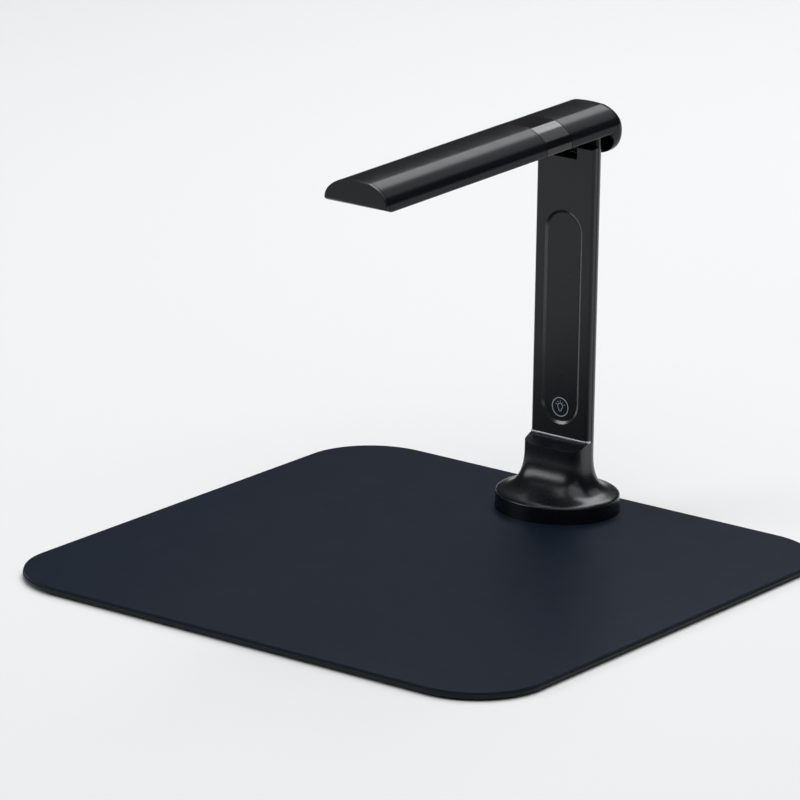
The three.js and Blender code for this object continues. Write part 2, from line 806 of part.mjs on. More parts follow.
function columnSpine() {
  const flanges = [-1, 1].map((side) => alongX(spineFlangeShape(),
    side > 0 ? cheek_inner : -spine_half_width, side > 0 ? spine_half_width : -cheek_inner, small_steps));
  const web = box(-spine_half_width, spine_half_width, spine_front, spine_front + spine_thickness,
    plate_top, notch_bottom_height - 2 * column_wall);
  const bore = discX(pivot_setback, pivot_height, pin_radius + running_gap, -column_half, column_half);
  const screws = shell_screw_heights.map((z) => discY(
    0, z, shell_screw_radius + running_gap, 0, column_depth));
  const cable_way = box(-spine_half_width / 3, spine_half_width / 3, 0, spine_front + 2 * spine_thickness,
    recess_bottom_height + recess_width / 2, recess_bottom_height + recess_width);
  const foot_way = box(-spine_half_width / 2, spine_half_width / 2, spine_front - overrun,
    spine_front + 2 * spine_thickness, main_board_floor, main_board_floor + socket_width);
  return cut(join(web, ...flanges), bore, ...screws, cable_way, foot_way);
}

// A round cable along a smooth curve through the given points.
function cableAlong(points, steps) {
  const section = new THREE.Shape();
  section.absarc(0, 0, cable_radius, 0, Math.PI * 2, false);
  const geometry = new THREE.ExtrudeGeometry(section, {
    steps, bevelEnabled: false, curveSegments: cable_sides / 2,
    extrudePath: new THREE.CatmullRomCurve3(points.map((point) => new THREE.Vector3(...point))),
  });
  return solid(geometry);
}

function columnCable() {
  const side = spine_half_width / 2;
  const behind = spine_front + spine_thickness + 2 * running_gap + cable_radius;
  return cableAlong([
    [side, main_board_front + 2 * cable_radius, main_board_top + cable_radius + running_gap],
    [side, (main_board_front + behind) / 2 + cable_radius, neck_base_height / 2 + 2 * cable_radius],
    [side, behind, neck_base_height],
    [side, behind, lip_height],
    [side, behind, (neck_base_height + notch_bottom_height) / 2],
    [side, behind, notch_bottom_height - 2 * column_wall],
  ], cable_steps);
}

place(device, 'column_lip_trim', lipTrim(), 'bright');
place(device, 'column_front_shell', frontShell(), 'satin');
place(device, 'column_rear_shell', rearShell(), 'satin');
place(device, 'touch_panel', touchPanel(), 'panel');
place(device, 'touch_circuit_board', touchCircuitBoard(), 'circuit');
place(device, 'column_spine', columnSpine(), 'steel');
place(device, 'column_cable', columnCable(), 'rubber');
place(device, 'shell_screw_lower', shellScrew(shell_screw_lower_height), 'zinc');
place(device, 'shell_screw_upper', shellScrew(shell_screw_upper_height), 'zinc');

// Hinge: a pin through the spine's ears, friction washers, a disc spring and a nut

function hingePin() {
  const pin_end = spine_half_width + nut_height + running_gap;
  const shaft = discX(
    pivot_setback, pivot_height, pin_radius, -spine_half_width - running_gap, pin_end, small_steps);
  const head = discX(pivot_setback, pivot_height, pin_head_radius,
    -spine_half_width - pin_head_height, -spine_half_width, small_steps);
  return join(shaft, head);
}

function hingeNut() {
  const low = spine_half_width;
  const high = spine_half_width + nut_height;
  const nut = discX(pivot_setback, pivot_height, pin_head_radius, low, high, nut_sides);
  const bore = discX(
    pivot_setback, pivot_height, pin_radius + running_gap, low - overrun, high + overrun, small_steps);
  return cut(nut, bore);
}

function frictionWasher(side) {
  const low = side > 0 ? notch_half - running_gap : -notch_half + running_gap - washer_thickness;
  const disc = discX(pivot_setback, pivot_height, washer_radius, low, low + washer_thickness);
  const bore = discX(pivot_setback, pivot_height, pin_radius + running_gap,
    low - overrun, low + washer_thickness + overrun, small_steps);
  return cut(disc, bore);
}

// A shallow cone of sheet metal between a washer and the spine's ear.
function discSpring(side) {
  const start = notch_half - running_gap + washer_thickness;
  const end = cheek_inner;
  const sheet = (end - start) / 2;
  const bore_radius = pin_radius + running_gap;
  const profile = [
    [bore_radius, end], [bore_radius, end - sheet], [washer_radius, start], [washer_radius, start + sheet],
    [bore_radius, end],
  ].map(([radius, height]) => new THREE.Vector2(radius, height));
  const geometry = new THREE.LatheGeometry(profile, round_steps);
  geometry.rotateZ(-Math.PI / 2);
  if (side < 0) {
    geometry.rotateY(Math.PI);
  }
  geometry.translate(0, pivot_setback, pivot_height);
  return solid(geometry);
}

place(device, 'hinge_pin', hingePin(), 'steel');
place(device, 'hinge_nut', hingeNut(), 'zinc');
place(device, 'friction_washer_left', frictionWasher(-1), 'brass');
place(device, 'friction_washer_right', frictionWasher(1), 'brass');
place(device, 'disc_spring_left', discSpring(-1), 'steel');
place(device, 'disc_spring_right', discSpring(1), 'steel');

// Arm shells

function armTopShell() {
  const front = -arm_reach + cap_thickness + seam_gap;
  const back = -band_far_distance - seam_gap;
  const outer = alongY(outerSection(), front, back);
  const inner = alongY(innerSection(), front - overrun, back + overrun);
  return cut(outer, inner, bowCut());
}

function glossBand() {
  const outer = alongY(outerSection(), -band_far_distance, -band_near_distance - seam_gap);
  const inner = alongY(innerSection(), -band_far_distance - overrun, -band_near_distance);
  return cut(outer, inner);
}

// The arm's underside curves up to its end face, like a bow.
function bowCut() {
  const front = -arm_reach;
  const points = [new THREE.Vector2(front - overrun, arm_underside + bow_height)];
  for (let i = 0; i <= small_steps; i += 1) {
    const angle = Math.PI + (i / small_steps) * Math.PI / 2;
    points.push(new THREE.Vector2(front + bow_length + bow_length * Math.cos(angle),
      arm_underside + bow_height + bow_height * Math.sin(angle)));
  }
  points.push(new THREE.Vector2(front + bow_length, arm_underside - overrun));
  points.push(new THREE.Vector2(front - overrun, arm_underside - overrun));
  return alongX(new THREE.Shape(points), -2 * arm_half_width, 2 * arm_half_width);
}

function endCap() {
  const ring = (inset, away) => armPoints(arm_half_width - inset, arm_underside,
    arm_underside + arm_side_height, arm_crown_height - inset, arm_corner_round)
    .map((point) => new THREE.Vector3(point.x, away - arm_reach, point.y));
  const rings = [
    ring(cap_edge_round, 0), ring(cap_edge_round / 4, cap_edge_round / 3), ring(0, cap_edge_round),
    ring(0, cap_thickness),
  ];
  return cut(loft(rings.toReversed()), bowCut());
}

// The hood's round end: the arm's section turned about an axis across the arm.
// Its plan grows squarer from the top of the arm to its back.
function hoodEnd(half_width, radius, crown_height, first_degrees, last_degrees) {
  const center = new THREE.Vector3(0, hood_center_distance, hood_center_height);
  const depth_share = hood_depth / hood_radius;
  const places = crownPlaces(half_width);
  const section = (step) => {
    const degrees = first_degrees + (last_degrees - first_degrees) * step / hood_steps;
    const angle = THREE.MathUtils.degToRad(degrees);
    const square_share = Math.min((first_degrees - degrees) / first_degrees, 1);
    return places.map((x) => {
      const plain = crownAt(x, half_width, crown_height);
      const top = crownAt(0, half_width, crown_height);
      const square = top * (1 - Math.abs(x / half_width) ** hood_end_power) ** (1 / hood_end_power);
      const away = radius - top + plain + (square - plain) * square_share;
      return new THREE.Vector3(
        x, center.y + depth_share * away * Math.cos(angle), center.z + away * Math.sin(angle));
    });
  };
  const sections = [];
  for (let step = 0; step <= hood_steps; step += 1) {
    sections.push(section(step));
  }
  const triangles = [];
  const right = new THREE.Vector3(half_width, center.y, center.z);
  const left = new THREE.Vector3(-half_width, center.y, center.z);
  const last = places.length - 1;
  for (let step = 0; step < hood_steps; step += 1) {
    const here = sections[step];
    const next = sections[step + 1];
    for (let i = 0; i < last; i += 1) {
      triangles.push([here[i], next[i], next[i + 1]]);
      triangles.push([here[i], next[i + 1], here[i + 1]]);
    }
    triangles.push([right, next[0], here[0]]);
    triangles.push([left, here[last], next[last]]);
  }
  const first_rim = [right, ...sections[0], left];
  const last_rim = [right, ...sections[hood_steps], left];
  for (let i = 0; i + 1 < first_rim.length; i += 1) {
    triangles.push([center, first_rim[i], first_rim[i + 1]]);
    triangles.push([center, last_rim[i + 1], last_rim[i]]);
  }
  return fromTriangles(triangles);
}

function rearHood() {
  const end_half = arm_half_width - arm_side_wall;
  const front = -band_near_distance - overrun;
  const straight = alongY(outerSection(), -band_near_distance, hood_center_distance);
  const end = hoodEnd(arm_half_width, hood_radius, arm_crown_height, 90, hood_end_degrees);
  const inner_straight = alongY(innerSection(), front, hood_center_distance + running_gap);
  const inner_end = hoodEnd(
    end_half, hood_radius - arm_wall, arm_crown_height - arm_wall, 90, hood_end_degrees);
  const low = hood_center_height - 2 * hood_radius;
  const way_back = column_depth - pivot_setback + hood_back_gap;
  const column_way = box(-end_half, end_half, front, way_back, low, arm_underside + arm_side_height);
  const arch = new THREE.Shape();
  arch.moveTo(front, low);
  arch.lineTo(way_back, low);
  arch.absarc(way_back - hood_arch_round, arm_underside - hood_arch_round, hood_arch_round,
    0, Math.PI / 2, false);
  arch.lineTo(front, arm_underside);
  const below_arm = alongX(arch, -2 * arm_half_width, 2 * arm_half_width, small_steps);
  return cut(join(straight, end), inner_straight, inner_end, column_way, below_arm);
}

place(arm, 'arm_top_shell', armTopShell(), 'satin');
place(arm, 'gloss_band', glossBand(), 'gloss');
place(arm, 'arm_end_cap', endCap(), 'satin');
place(arm, 'arm_rear_hood', rearHood(), 'satin');

// Arm underside, frame, camera and lamp

const inner_half = arm_half_width - arm_side_wall - running_gap;
const cover_screw_places = [
  [-cover_screw_x, -cover_screw_near_distance], [cover_screw_x, -cover_screw_near_distance],
  [-cover_screw_x, -cover_screw_far_distance], [cover_screw_x, -cover_screw_far_distance],
];
const lamp_middle = -(lamp_near_distance + lamp_far_distance) / 2;
const lamp_half_length = (lamp_far_distance - lamp_near_distance) / 2;

function bottomCover() {
  const front = -arm_reach + cap_thickness + seam_gap;
  const plate = box(-inner_half, inner_half, front, -cover_open_distance, arm_underside, cover_top)
    .intersect(alongY(outerSection(), front, -cover_open_distance));
  const spacers = cover_screw_places.map(([x, y]) => discZ(
    x, y, spacer_radius, arm_underside + cover_thickness / 2, frame_plate_height - running_gap));
  const lens_hole = discZ(0, -lens_distance, lens_window_radius + running_gap,
    arm_underside - overrun, cover_top + overrun, round_steps);
  const lamp_hole = alongZ(roundedRectangle(
    lamp_half_width + running_gap, lamp_half_length + running_gap, lamp_half_width / 2),
  arm_underside - overrun, cover_top + overrun, corner_steps).translate([0, lamp_middle, 0]);
  const screw_holes = cover_screw_places.flatMap(([x, y]) => [
    discZ(x, y, cover_screw_radius + running_gap, arm_underside - overrun, frame_plate_height + overrun),
    discZ(x, y, cover_screw_head_radius + running_gap, arm_underside - overrun,
      arm_underside + cover_screw_head_height),
  ]);
  return cut(join(plate, ...spacers), lens_hole, lamp_hole, ...screw_holes, bowCut());
}

function coverScrew(x, y) {
  const head = discZ(x, y, cover_screw_head_radius, arm_underside + running_gap / 2,
    arm_underside + cover_screw_head_height - running_gap / 2);
  const shank = discZ(x, y, cover_screw_radius, arm_underside + running_gap / 2, frame_plate_top);
  const drive = alongZ(crossShape(cover_screw_head_radius), arm_underside,
    arm_underside + cover_screw_head_height / 2).translate([x, y, 0]);
  return cut(join(head, shank), drive);
}

function armFrame() {
  const barrel_half = notch_half - 2 * running_gap;
  const barrel = discX(0, 0, barrel_radius, -barrel_half, barrel_half);
  const neck = box(-barrel_half, barrel_half, -barrel_neck_half_depth, barrel_neck_half_depth,
    0, frame_plate_top);
  const front = -arm_reach + cap_thickness + frame_front_margin;
  const plate = box(-frame_half_width, frame_half_width, front, frame_back_distance,
    frame_plate_height, frame_plate_top);
  const bore = discX(0, 0, pin_radius + running_gap, -column_half, column_half, small_steps);
  const camera_opening = box(-camera_body_half - running_gap, camera_body_half + running_gap,
    -lens_distance - camera_body_half - running_gap, -lens_distance + camera_body_half + running_gap,
    frame_plate_height - overrun, frame_plate_top + overrun);
  const screws = cover_screw_places.map(([x, y]) => discZ(
    x, y, cover_screw_radius + running_gap, frame_plate_height - overrun, frame_plate_top + overrun));
  const slots = frame_slot_shares.map((share) => {
    const y = -cover_screw_near_distance - (cover_screw_far_distance - cover_screw_near_distance) * share;
    return box(-frame_half_width / 2, frame_half_width / 2, y - spacer_radius, y + spacer_radius,
      frame_plate_height - overrun, frame_plate_top + overrun);
  });
  return cut(join(barrel, neck, plate), bore, camera_opening, ...screws, ...slots);
}

function cameraHousing() {
  const floor = cover_top + running_gap;
  const flange_floor = frame_plate_top + running_gap;
  const half = camera_body_half;
  const body = box(-half, half, -lens_distance - half, -lens_distance + half,
    floor + lens_barrel_length / 2, flange_floor + camera_flange_thickness);
  const flange = box(-half - camera_flange, half + camera_flange,
    -lens_distance - half, -lens_distance + half, flange_floor, flange_floor + camera_flange_thickness);
  const bore = discZ(0, -lens_distance, lens_barrel_radius + running_gap,
    floor, flange_floor + camera_flange_thickness - running_gap, round_steps);
  return cut(join(body, flange), bore);
}

function lensBarrel() {
  const floor = cover_top + running_gap;
  const tube = discZ(
    0, -lens_distance, lens_barrel_radius, floor, floor + lens_barrel_length, round_steps);
  const bore = discZ(0, -lens_distance, lens_glass_radius + running_gap,
    floor - overrun, floor + lens_barrel_length / 2, round_steps);
  return cut(tube, bore);
}

// A shallow dome, flat at the back.
function lensGlass() {
  const floor = cover_top + running_gap + lens_barrel_length / 2;
  const bulge = lens_barrel_length / 3;
  const profile = [new THREE.Vector2(0, floor)];
  for (let i = small_steps / 2; i >= 0; i -= 1) {
    const angle = (i / (small_steps / 2)) * Math.PI / 2;
    profile.push(new THREE.Vector2(lens_glass_radius * Math.sin(angle), floor - bulge * Math.cos(angle)));
  }
  const geometry = new THREE.LatheGeometry(profile.toReversed(), small_steps);
  geometry.rotateX(Math.PI / 2);
  geometry.translate(0, -lens_distance, 0);
  return solid(geometry);
}

function lensWindow() {
  return discZ(0, -lens_distance, lens_window_radius,
    arm_underside, arm_underside + lens_window_thickness, round_steps);
}

function sensorBoard() {
  const floor = frame_plate_top + camera_flange_thickness + 2 * running_gap;
  const half = camera_body_half + camera_flange / 2;
  return box(-half, half, -lens_distance - half, -lens_distance + half,
    floor, floor + sensor_board_thickness);
}

function lampDiffuser() {
  const low_part = alongZ(roundedRectangle(lamp_half_width, lamp_half_length, lamp_half_width / 2),
    arm_underside, cover_top + running_gap, corner_steps);
  const flange = alongZ(roundedRectangle(
    lamp_half_width + lamp_flange, lamp_half_length + lamp_flange, lamp_half_width / 2),
  cover_top + running_gap, cover_top + 2 * running_gap + lamp_board_thickness, corner_steps);
  return join(low_part, flange).translate([0, lamp_middle, 0]);
}

function lampBoard() {
  const top = frame_plate_height - running_gap;
  return box(-lamp_half_width, lamp_half_width,
    lamp_middle - lamp_half_length, lamp_middle + lamp_half_length, top - lamp_board_thickness, top);
}

function armCable() {
  const height = frame_plate_top + cable_radius + running_gap;
  const front = -lens_distance + camera_body_half + camera_flange + 2 * cable_radius;
  return cableAlong([
    [0, front, height],
    ...arm_cable_shares.map((share) => [frame_half_width / 2, front * share, height]),
    [0, -barrel_radius, height],
    [0, 0, height],
  ], cable_steps);
}

place(arm, 'arm_bottom_cover', bottomCover(), 'satin');
place(arm, 'arm_frame', armFrame(), 'cast');
place(arm, 'camera_housing', cameraHousing(), 'gloss');
place(arm, 'lens_barrel', lensBarrel(), 'gloss');
place(arm, 'lens_glass', lensGlass(), 'glass');
place(arm, 'lens_window', lensWindow(), 'glass');
place(arm, 'sensor_circuit_board', sensorBoard(), 'circuit');
place(arm, 'lamp_diffuser', lampDiffuser(), 'lamp');
place(arm, 'lamp_circuit_board', lampBoard(), 'circuit');
place(arm, 'arm_cable', armCable(), 'rubber');
cover_screw_places.forEach(([x, y], i) => {
  place(arm, `cover_screw_${i + 1}`, coverScrew(x, y), 'zinc');
});

export default document_camera;
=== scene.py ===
import json
from math import acos, asin, copysign, cos, degrees, pi, radians, sin, sqrt, tau

import bmesh
import bpy
from mathutils import Matrix, Vector


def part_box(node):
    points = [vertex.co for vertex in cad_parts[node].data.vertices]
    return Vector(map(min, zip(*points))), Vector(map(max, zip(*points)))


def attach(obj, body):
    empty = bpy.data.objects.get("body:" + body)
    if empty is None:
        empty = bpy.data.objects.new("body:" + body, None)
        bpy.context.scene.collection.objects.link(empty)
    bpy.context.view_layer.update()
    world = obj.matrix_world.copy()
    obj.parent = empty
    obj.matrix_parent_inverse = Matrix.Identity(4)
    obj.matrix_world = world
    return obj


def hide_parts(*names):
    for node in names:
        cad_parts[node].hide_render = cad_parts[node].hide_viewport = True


# A desk document camera: fine surfaces, materials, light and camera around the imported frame.
# Everything is in metres. The device's own axes start on the board's top, under the column's front face, and
# the arm's own axes start at the hinge, with the arm along -Y.

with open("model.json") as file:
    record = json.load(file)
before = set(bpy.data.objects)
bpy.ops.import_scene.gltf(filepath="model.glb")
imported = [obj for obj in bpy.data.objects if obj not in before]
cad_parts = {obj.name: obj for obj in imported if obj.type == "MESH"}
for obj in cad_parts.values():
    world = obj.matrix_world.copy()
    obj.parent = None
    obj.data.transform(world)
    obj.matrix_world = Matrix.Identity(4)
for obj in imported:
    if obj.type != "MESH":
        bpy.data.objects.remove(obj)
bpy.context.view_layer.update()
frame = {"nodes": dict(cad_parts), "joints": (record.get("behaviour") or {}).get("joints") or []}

MM = 0.001

# The clearance between neighbours, and how far a cut runs past the piece that it cuts

gap = 0.3 * MM
overrun = 1.0 * MM


# Places taken from the frame

joint = frame["joints"][0]
pivot = Vector(joint["pos_m"])
droop = radians(-joint["range_deg"][0])

plate_low, plate_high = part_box("base_board")
mat_low, mat_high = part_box("board_mat")
pad_low, pad_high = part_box("rubber_pad_1")
foot_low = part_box("foot_housing")[0]
lip_low, lip_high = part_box("column_lip_trim")
front_low, front_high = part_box("column_front_shell")
socket_low, socket_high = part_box("data_socket")
window_low, window_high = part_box("lens_window")

board_top = mat_high.z
column_front = front_low.y
device_place = Matrix.Translation((0, column_front, board_top))
arm_place = Matrix.Translation(pivot) @ Matrix.Rotation(droop, 4, "X")
pivot_y = pivot.y - column_front
pivot_z = pivot.z - board_top


# Sizes of the board

board_corner_radius = 48 * MM
plate_edge = 0.7 * MM
mat_edge = 0.45 * MM
mat_lower_edge = plate_edge / 4
pad_count = 6
pad_radius = (pad_high.x - pad_low.x) / 2
pad_edge = 0.5 * MM
pad_upper_edge = pad_edge / 4


# Sizes of the foot

foot_half_width = 39.5 * MM
foot_half_depth = 37 * MM
foot_rim_height = 9.2 * MM
flare_lower_height = 14.6 * MM
flare_upper_height = 7.4 * MM
neck_base_height = 36.5 * MM
neck_front_reach = 10 * MM
neck_corner_power = 6.5
foot_wall = 2.2 * MM
foot_round = 0.35 * MM
ledge_drop = 4.2 * MM
socket_middle = (socket_high.z + socket_low.z) / 2 - board_top
socket_wall = 0.35 * MM
socket_corner_share = 0.98
socket_round = 0.06 * MM
tongue_thickness = 0.7 * MM


# Sizes of the column

column_half = (front_high.x - front_low.x) / 2
front_shell_depth = 4 * MM
rear_shell_depth = 14 * MM
column_depth = front_shell_depth + rear_shell_depth
column_wall = 1.8 * MM
column_edge_round = 1.8 * MM
front_round = 0.14 * MM
rear_round = 0.3 * MM
neck_top = lip_low.z - board_top
lip_top = lip_high.z - board_top
lip_round = 0.4 * MM
ear_top = front_high.z - board_top
ear_edge = 0.3 * MM
ear_chamfer = 1.1 * MM
seal_round = gap / 5
notch_half = 8.6 * MM
notch_bottom = 223.4 * MM
rear_ear_radius = 8.4 * MM
recess_width = 28 * MM
recess_low = 53.5 * MM
recess_high = 190.3 * MM
recess_depth = 0.9 * MM
recess_bevel = 1.8 * MM
edge_film = 0.04 * MM
panel_front = 0.7 * MM
panel_gap = 0.05 * MM
panel_edge = 0.12 * MM
washer_radius = 5.6 * MM


# Sizes of the touch key's sign

icon_height = 64.4 * MM
icon_radius = 6.2 * MM
icon_line = 0.55 * MM
icon_fine_line = icon_line * 0.72
icon_proud = 0.06 * MM
bulb_radius = icon_radius * 0.3
bulb_height = icon_height + icon_radius * 0.08
bulb_neck = icon_radius * 0.14
bulb_neck_low = bulb_height - bulb_radius * 1.45
bulb_first_degrees = -55
bulb_last_degrees = 235
collar_low = bulb_neck_low - icon_fine_line * 1.2
ray_ends = (bulb_radius * 1.45, bulb_radius * 1.95)
ray_degrees = (20, 55, 90, 125, 160)


# Sizes of the arm

arm_half_width = 23 * MM
arm_underside = 4.1 * MM
arm_side_height = 4.1 * MM
arm_side_top = arm_underside + arm_side_height
arm_corner = 1.5 * MM
arm_crown_height = 13.6 * MM
arm_crown_power = 1.85
crease_half_width = 10 * MM
crease_rise = 0.55 * MM
crease_tolerance = 0.35 * MM
arm_reach = 219.5 * MM
arm_wall = 1.8 * MM
arm_side_wall = 1.15 * MM
cap_thickness = 2.6 * MM
cap_edge = 0.6 * MM
cap_round = 0.2 * MM
far_end = -arm_reach + cap_thickness + gap
bow_length = 9.5 * MM
bow_height = 4.1 * MM
band_far = 60 * MM
band_near = 34.5 * MM
seam_edge = 0.22 * MM
inner_floor = arm_underside + seam_edge * 1.5
hood_radius = 15.6 * MM
hood_depth = 12 * MM
hood_center_distance = 12.4 * MM
hood_end_power = 2.7
hood_side_power = 2.3
hood_end_degrees = -178
hood_arch_round = 6 * MM
hood_back_gap = 0.8 * MM
hood_round = 0.25 * MM
cover_top = arm_underside + 1.6 * MM
cover_half = arm_half_width - arm_side_wall - gap
cover_open_distance = 31 * MM
cover_round = 0.25 * MM


# Sizes of what the arm carries

lens_distance = 192 * MM
lens_window_radius = (window_high.x - window_low.x) / 2
lens_window_thickness = 1 * MM
lens_window_edge = 0.15 * MM
lens_barrel_radius = 5 * MM
lens_barrel_length = 3 * MM
lens_barrel_edge = 0.25 * MM
lens_barrel_lip = 0.5 * MM
lens_back_hole = 0.2 * MM
lens_glass_radius = 3.4 * MM
lens_bulge = lens_barrel_length / 3
camera_body_half = 10 * MM
lamp_near = 112 * MM
lamp_far = 170 * MM
lamp_middle = -(lamp_near + lamp_far) / 2
lamp_half_length = (lamp_far - lamp_near) / 2
lamp_half_width = 6.5 * MM
lamp_corner = lamp_half_width / 2
lamp_edge = 0.4 * MM
lamp_flange = 1.2 * MM
lamp_board_thickness = 0.8 * MM
rib_spacing = 1.6 * MM
rib_half_width = rib_spacing * 0.32
rib_depth = 0.28 * MM
rib_margin = 1.2 * MM
rib_round = 0.05 * MM
frame_floor = 9.6 * MM
frame_top = 10.8 * MM
frame_half_width = 13 * MM
frame_front_margin = 6 * MM
frame_back_distance = 4 * MM
frame_round = 0.3 * MM
barrel_radius = 8 * MM
barrel_neck_half_depth = 4.5 * MM
pin_radius = 2 * MM


# Sizes of the screws

foot_screw_count = 4
foot_screw_radius = 3 * MM
foot_screw_depth = 1.6 * MM
foot_screw_head_height = 1.3 * MM
foot_screw_shank = 1.5 * MM
shell_screw_heights = (74 * MM, 200 * MM)
shell_screw_radius = 2.6 * MM
shell_screw_head_height = 0.8 * MM
shell_screw_shank = 1.3 * MM
cover_screw_count = 4
cover_screw_head_radius = 2.3 * MM
cover_screw_head_height = 0.7 * MM
cover_screw_radius = 1.2 * MM
cover_screw_recess = 1 * MM
cover_screw_face = arm_underside + gap / 2
head_edge_share = 0.14
drive_length_share = 0.6
drive_width_share = 0.16
drive_mouth_share = 1.35
drive_depth_share = 0.55
drive_bottom_share = 0.55


# Steps of round forms

corner_steps = 40
shell_corner_steps = 12
small_corner_steps = 10
round_steps = 64
small_steps = 32
edge_steps = 4
foot_steps = 176
flare_steps = 56
crown_steps = 30
crease_shares = (1, 0.8, 0.6, 0.4, 0.2)
hood_steps = 72
lens_barrel_steps = 4
lens_glass_steps = 16


# Meshes

def mesh_object(name, vertices, faces):
    mesh = bpy.data.meshes.new(name)
    mesh.from_pydata([tuple(point) for point in vertices], [], faces)
    mesh.update()
    piece = bpy.data.objects.new(name, mesh)
    bpy.context.scene.collection.objects.link(piece)
    return piece


def quads(count, here, there):
    """The faces between two rings of points, whose first points have these numbers."""
    return [(here + i, here + (i + 1) % count, there + (i + 1) % count, there + i) for i in range(count)]


def loft(name, rings):
    """A closed skin through rings of equally many points. The rings run anticlockwise seen from the last."""
    count = len(rings[0])
    last = (len(rings) - 1) * count
    faces = []
    for here in range(0, last, count):
        faces += quads(count, here, here + count)
    faces.append(tuple(reversed(range(count))))
    faces.append(tuple(range(last, last + count)))
    return mesh_object(name, [point for ring in rings for point in ring], faces)


def closed_sweep(name, sections):
    """A closed ring through sections of equally many points. The last section joins the first."""
    count = len(sections[0])
    faces = []
    for i in range(len(sections)):
        faces += quads(count, i * count, (i + 1) % len(sections) * count)
    piece = mesh_object(name, [point for ring in sections for point in ring], faces)
    mesh = bmesh.new()
    mesh.from_mesh(piece.data)
    bmesh.ops.recalc_face_normals(mesh, faces=mesh.faces)
    mesh.to_mesh(piece.data)
    mesh.free()
    return piece


def section(path, y):
    """Points at one Y, from pairs of X and Z that run anticlockwise seen from the front."""
    return [(x, y, z) for x, z in reversed(path)]


def across(name, outline, half):
    """A prism along X that reaches equally far to both sides."""
    return loft(name, [[(x, y, z) for y, z in outline] for x in (-half, half)])


def along_y(name, outline, low, high):
    return loft(name, [section(outline, y) for y in (low, high)])


def along_z(name, outline, low, high):
    return loft(name, [[(x, y, z) for x, y in outline] for z in (low, high)])


def block(name, low, high):
    outline = ((low[0], low[1]), (high[0], low[1]), (high[0], high[1]), (low[0], high[1]))
    return along_z(name, outline, low[2], high[2])


def arc(center, radius, first_degrees, last_degrees, steps, height=None):
    """Points on an arc of a circle, or of an ellipse where its other radius is given as height."""
    height = height or radius
    points = []
    for i in range(steps + 1):
        angle = radians(first_degrees + (last_degrees - first_degrees) * i / steps)
        points.append((center[0] + radius * cos(angle), center[1] + height * sin(angle)))
    return points


def circle(radius, steps, center=(0, 0), height=None):
    return arc(center, radius, 0, 360, steps, height)[:-1]


def rounded_outline(half_x, half_y, radius, steps):
    x = half_x - radius
    y = half_y - radius
    corners = ((x, -y, -90), (x, y, 0), (-x, y, 90), (-x, -y, 180))
    return [point for cx, cy, first in corners for point in arc((cx, cy), radius, first, first + 90, steps)]


def rounded_front(half, front, radius, back):
    """A plan with two rounded front corners and two square back corners."""
    return (arc((-half + radius, front + radius), radius, 180, 270, shell_corner_steps)
            + arc((half - radius, front + radius), radius, 270, 360, shell_corner_steps)
            + [(half, back), (-half, back)])


def stadium(half_width, low, high):
    return (arc((0, low + half_width), half_width, 180, 360, small_steps)
            + arc((0, high - half_width), half_width, 0, 180, small_steps))


def edge_profile(edge, low, high, top_edge=None):
    """Pairs of inset and height that round both edges of a plate."""
    top = edge if top_edge is None else top_edge
    pairs = []
    for i in range(edge_steps + 1):
        angle = pi / 2 * i / edge_steps
        pairs.append((edge * (1 - sin(angle)), low + edge * (1 - cos(angle))))
    for i in range(edge_steps + 1 if top else 1):
        angle = pi / 2 * i / edge_steps
        pairs.append((top * (1 - cos(angle)), high - top * (1 - sin(angle))))
    return pairs


def soft_plate(name, low, high, radius, edge, top_edge=None):
    rings = []
    for inset, z in edge_profile(edge, low.z, high.z, top_edge):
        outline = rounded_outline((high.x - low.x) / 2 - inset, (high.y - low.y) / 2 - inset, radius - inset,
                                  corner_steps)
        rings.append([(x, y, z) for x, y in outline])
    return loft(name, rings)


def soft_disc(name, radius, low, high, edge, center=(0, 0), top_edge=None):
    rings = []
    for inset, z in edge_profile(edge, low, high, top_edge):
        rings.append([(x, y, z) for x, y in circle(radius - inset, round_steps, center)])
    return loft(name, rings)


def discard(pieces):
    for piece in pieces:
        mesh = piece.data
        bpy.data.objects.remove(piece)
        bpy.data.meshes.remove(mesh)


def merge(pieces):
    """Puts the meshes of all the pieces into the first."""
    merged = bmesh.new()
    for piece in pieces:
        merged.from_mesh(piece.data)
    merged.to_mesh(pieces[0].data)
    merged.free()
    discard(pieces[1:])
    return pieces[0]


def bake_mesh(piece):
    """Applies the piece's modifiers to its mesh."""
    bpy.context.view_layer.update()
    depsgraph = bpy.context.evaluated_depsgraph_get()
    mesh = bpy.data.meshes.new_from_object(piece.evaluated_get(depsgraph))
    old = piece.data
    piece.modifiers.clear()
    piece.data = mesh
    bpy.data.meshes.remove(old)
    return piece


def boolean(piece, tools, operation):
    for tool in tools:
        modifier = piece.modifiers.new("boolean", "BOOLEAN")
        modifier.operation = operation
        modifier.solver = "EXACT"
        modifier.object = tool
    bake_mesh(piece)
    discard(tools)
    return piece


def cut(piece, *tools):
    return boolean(piece, tools, "DIFFERENCE")


def join(piece, *tools):
    return boolean(piece, tools, "UNION")


def common(piece, *tools):
    return boolean(piece, tools, "INTERSECT")


def keep_creases(piece):
    """Marks the two lengthwise creases of the arm as sharp edges."""
    for edge in piece.data.edges:
        first, second = (piece.data.vertices[i].co for i in edge.vertices)
        on_crease = all(abs(abs(point.x) - crease_half_width) < crease_tolerance for point in (first, second))
        if on_crease and first.x * second.x > 0 and (first - second).length > crease_tolerance:
            edge.use_edge_sharp = True


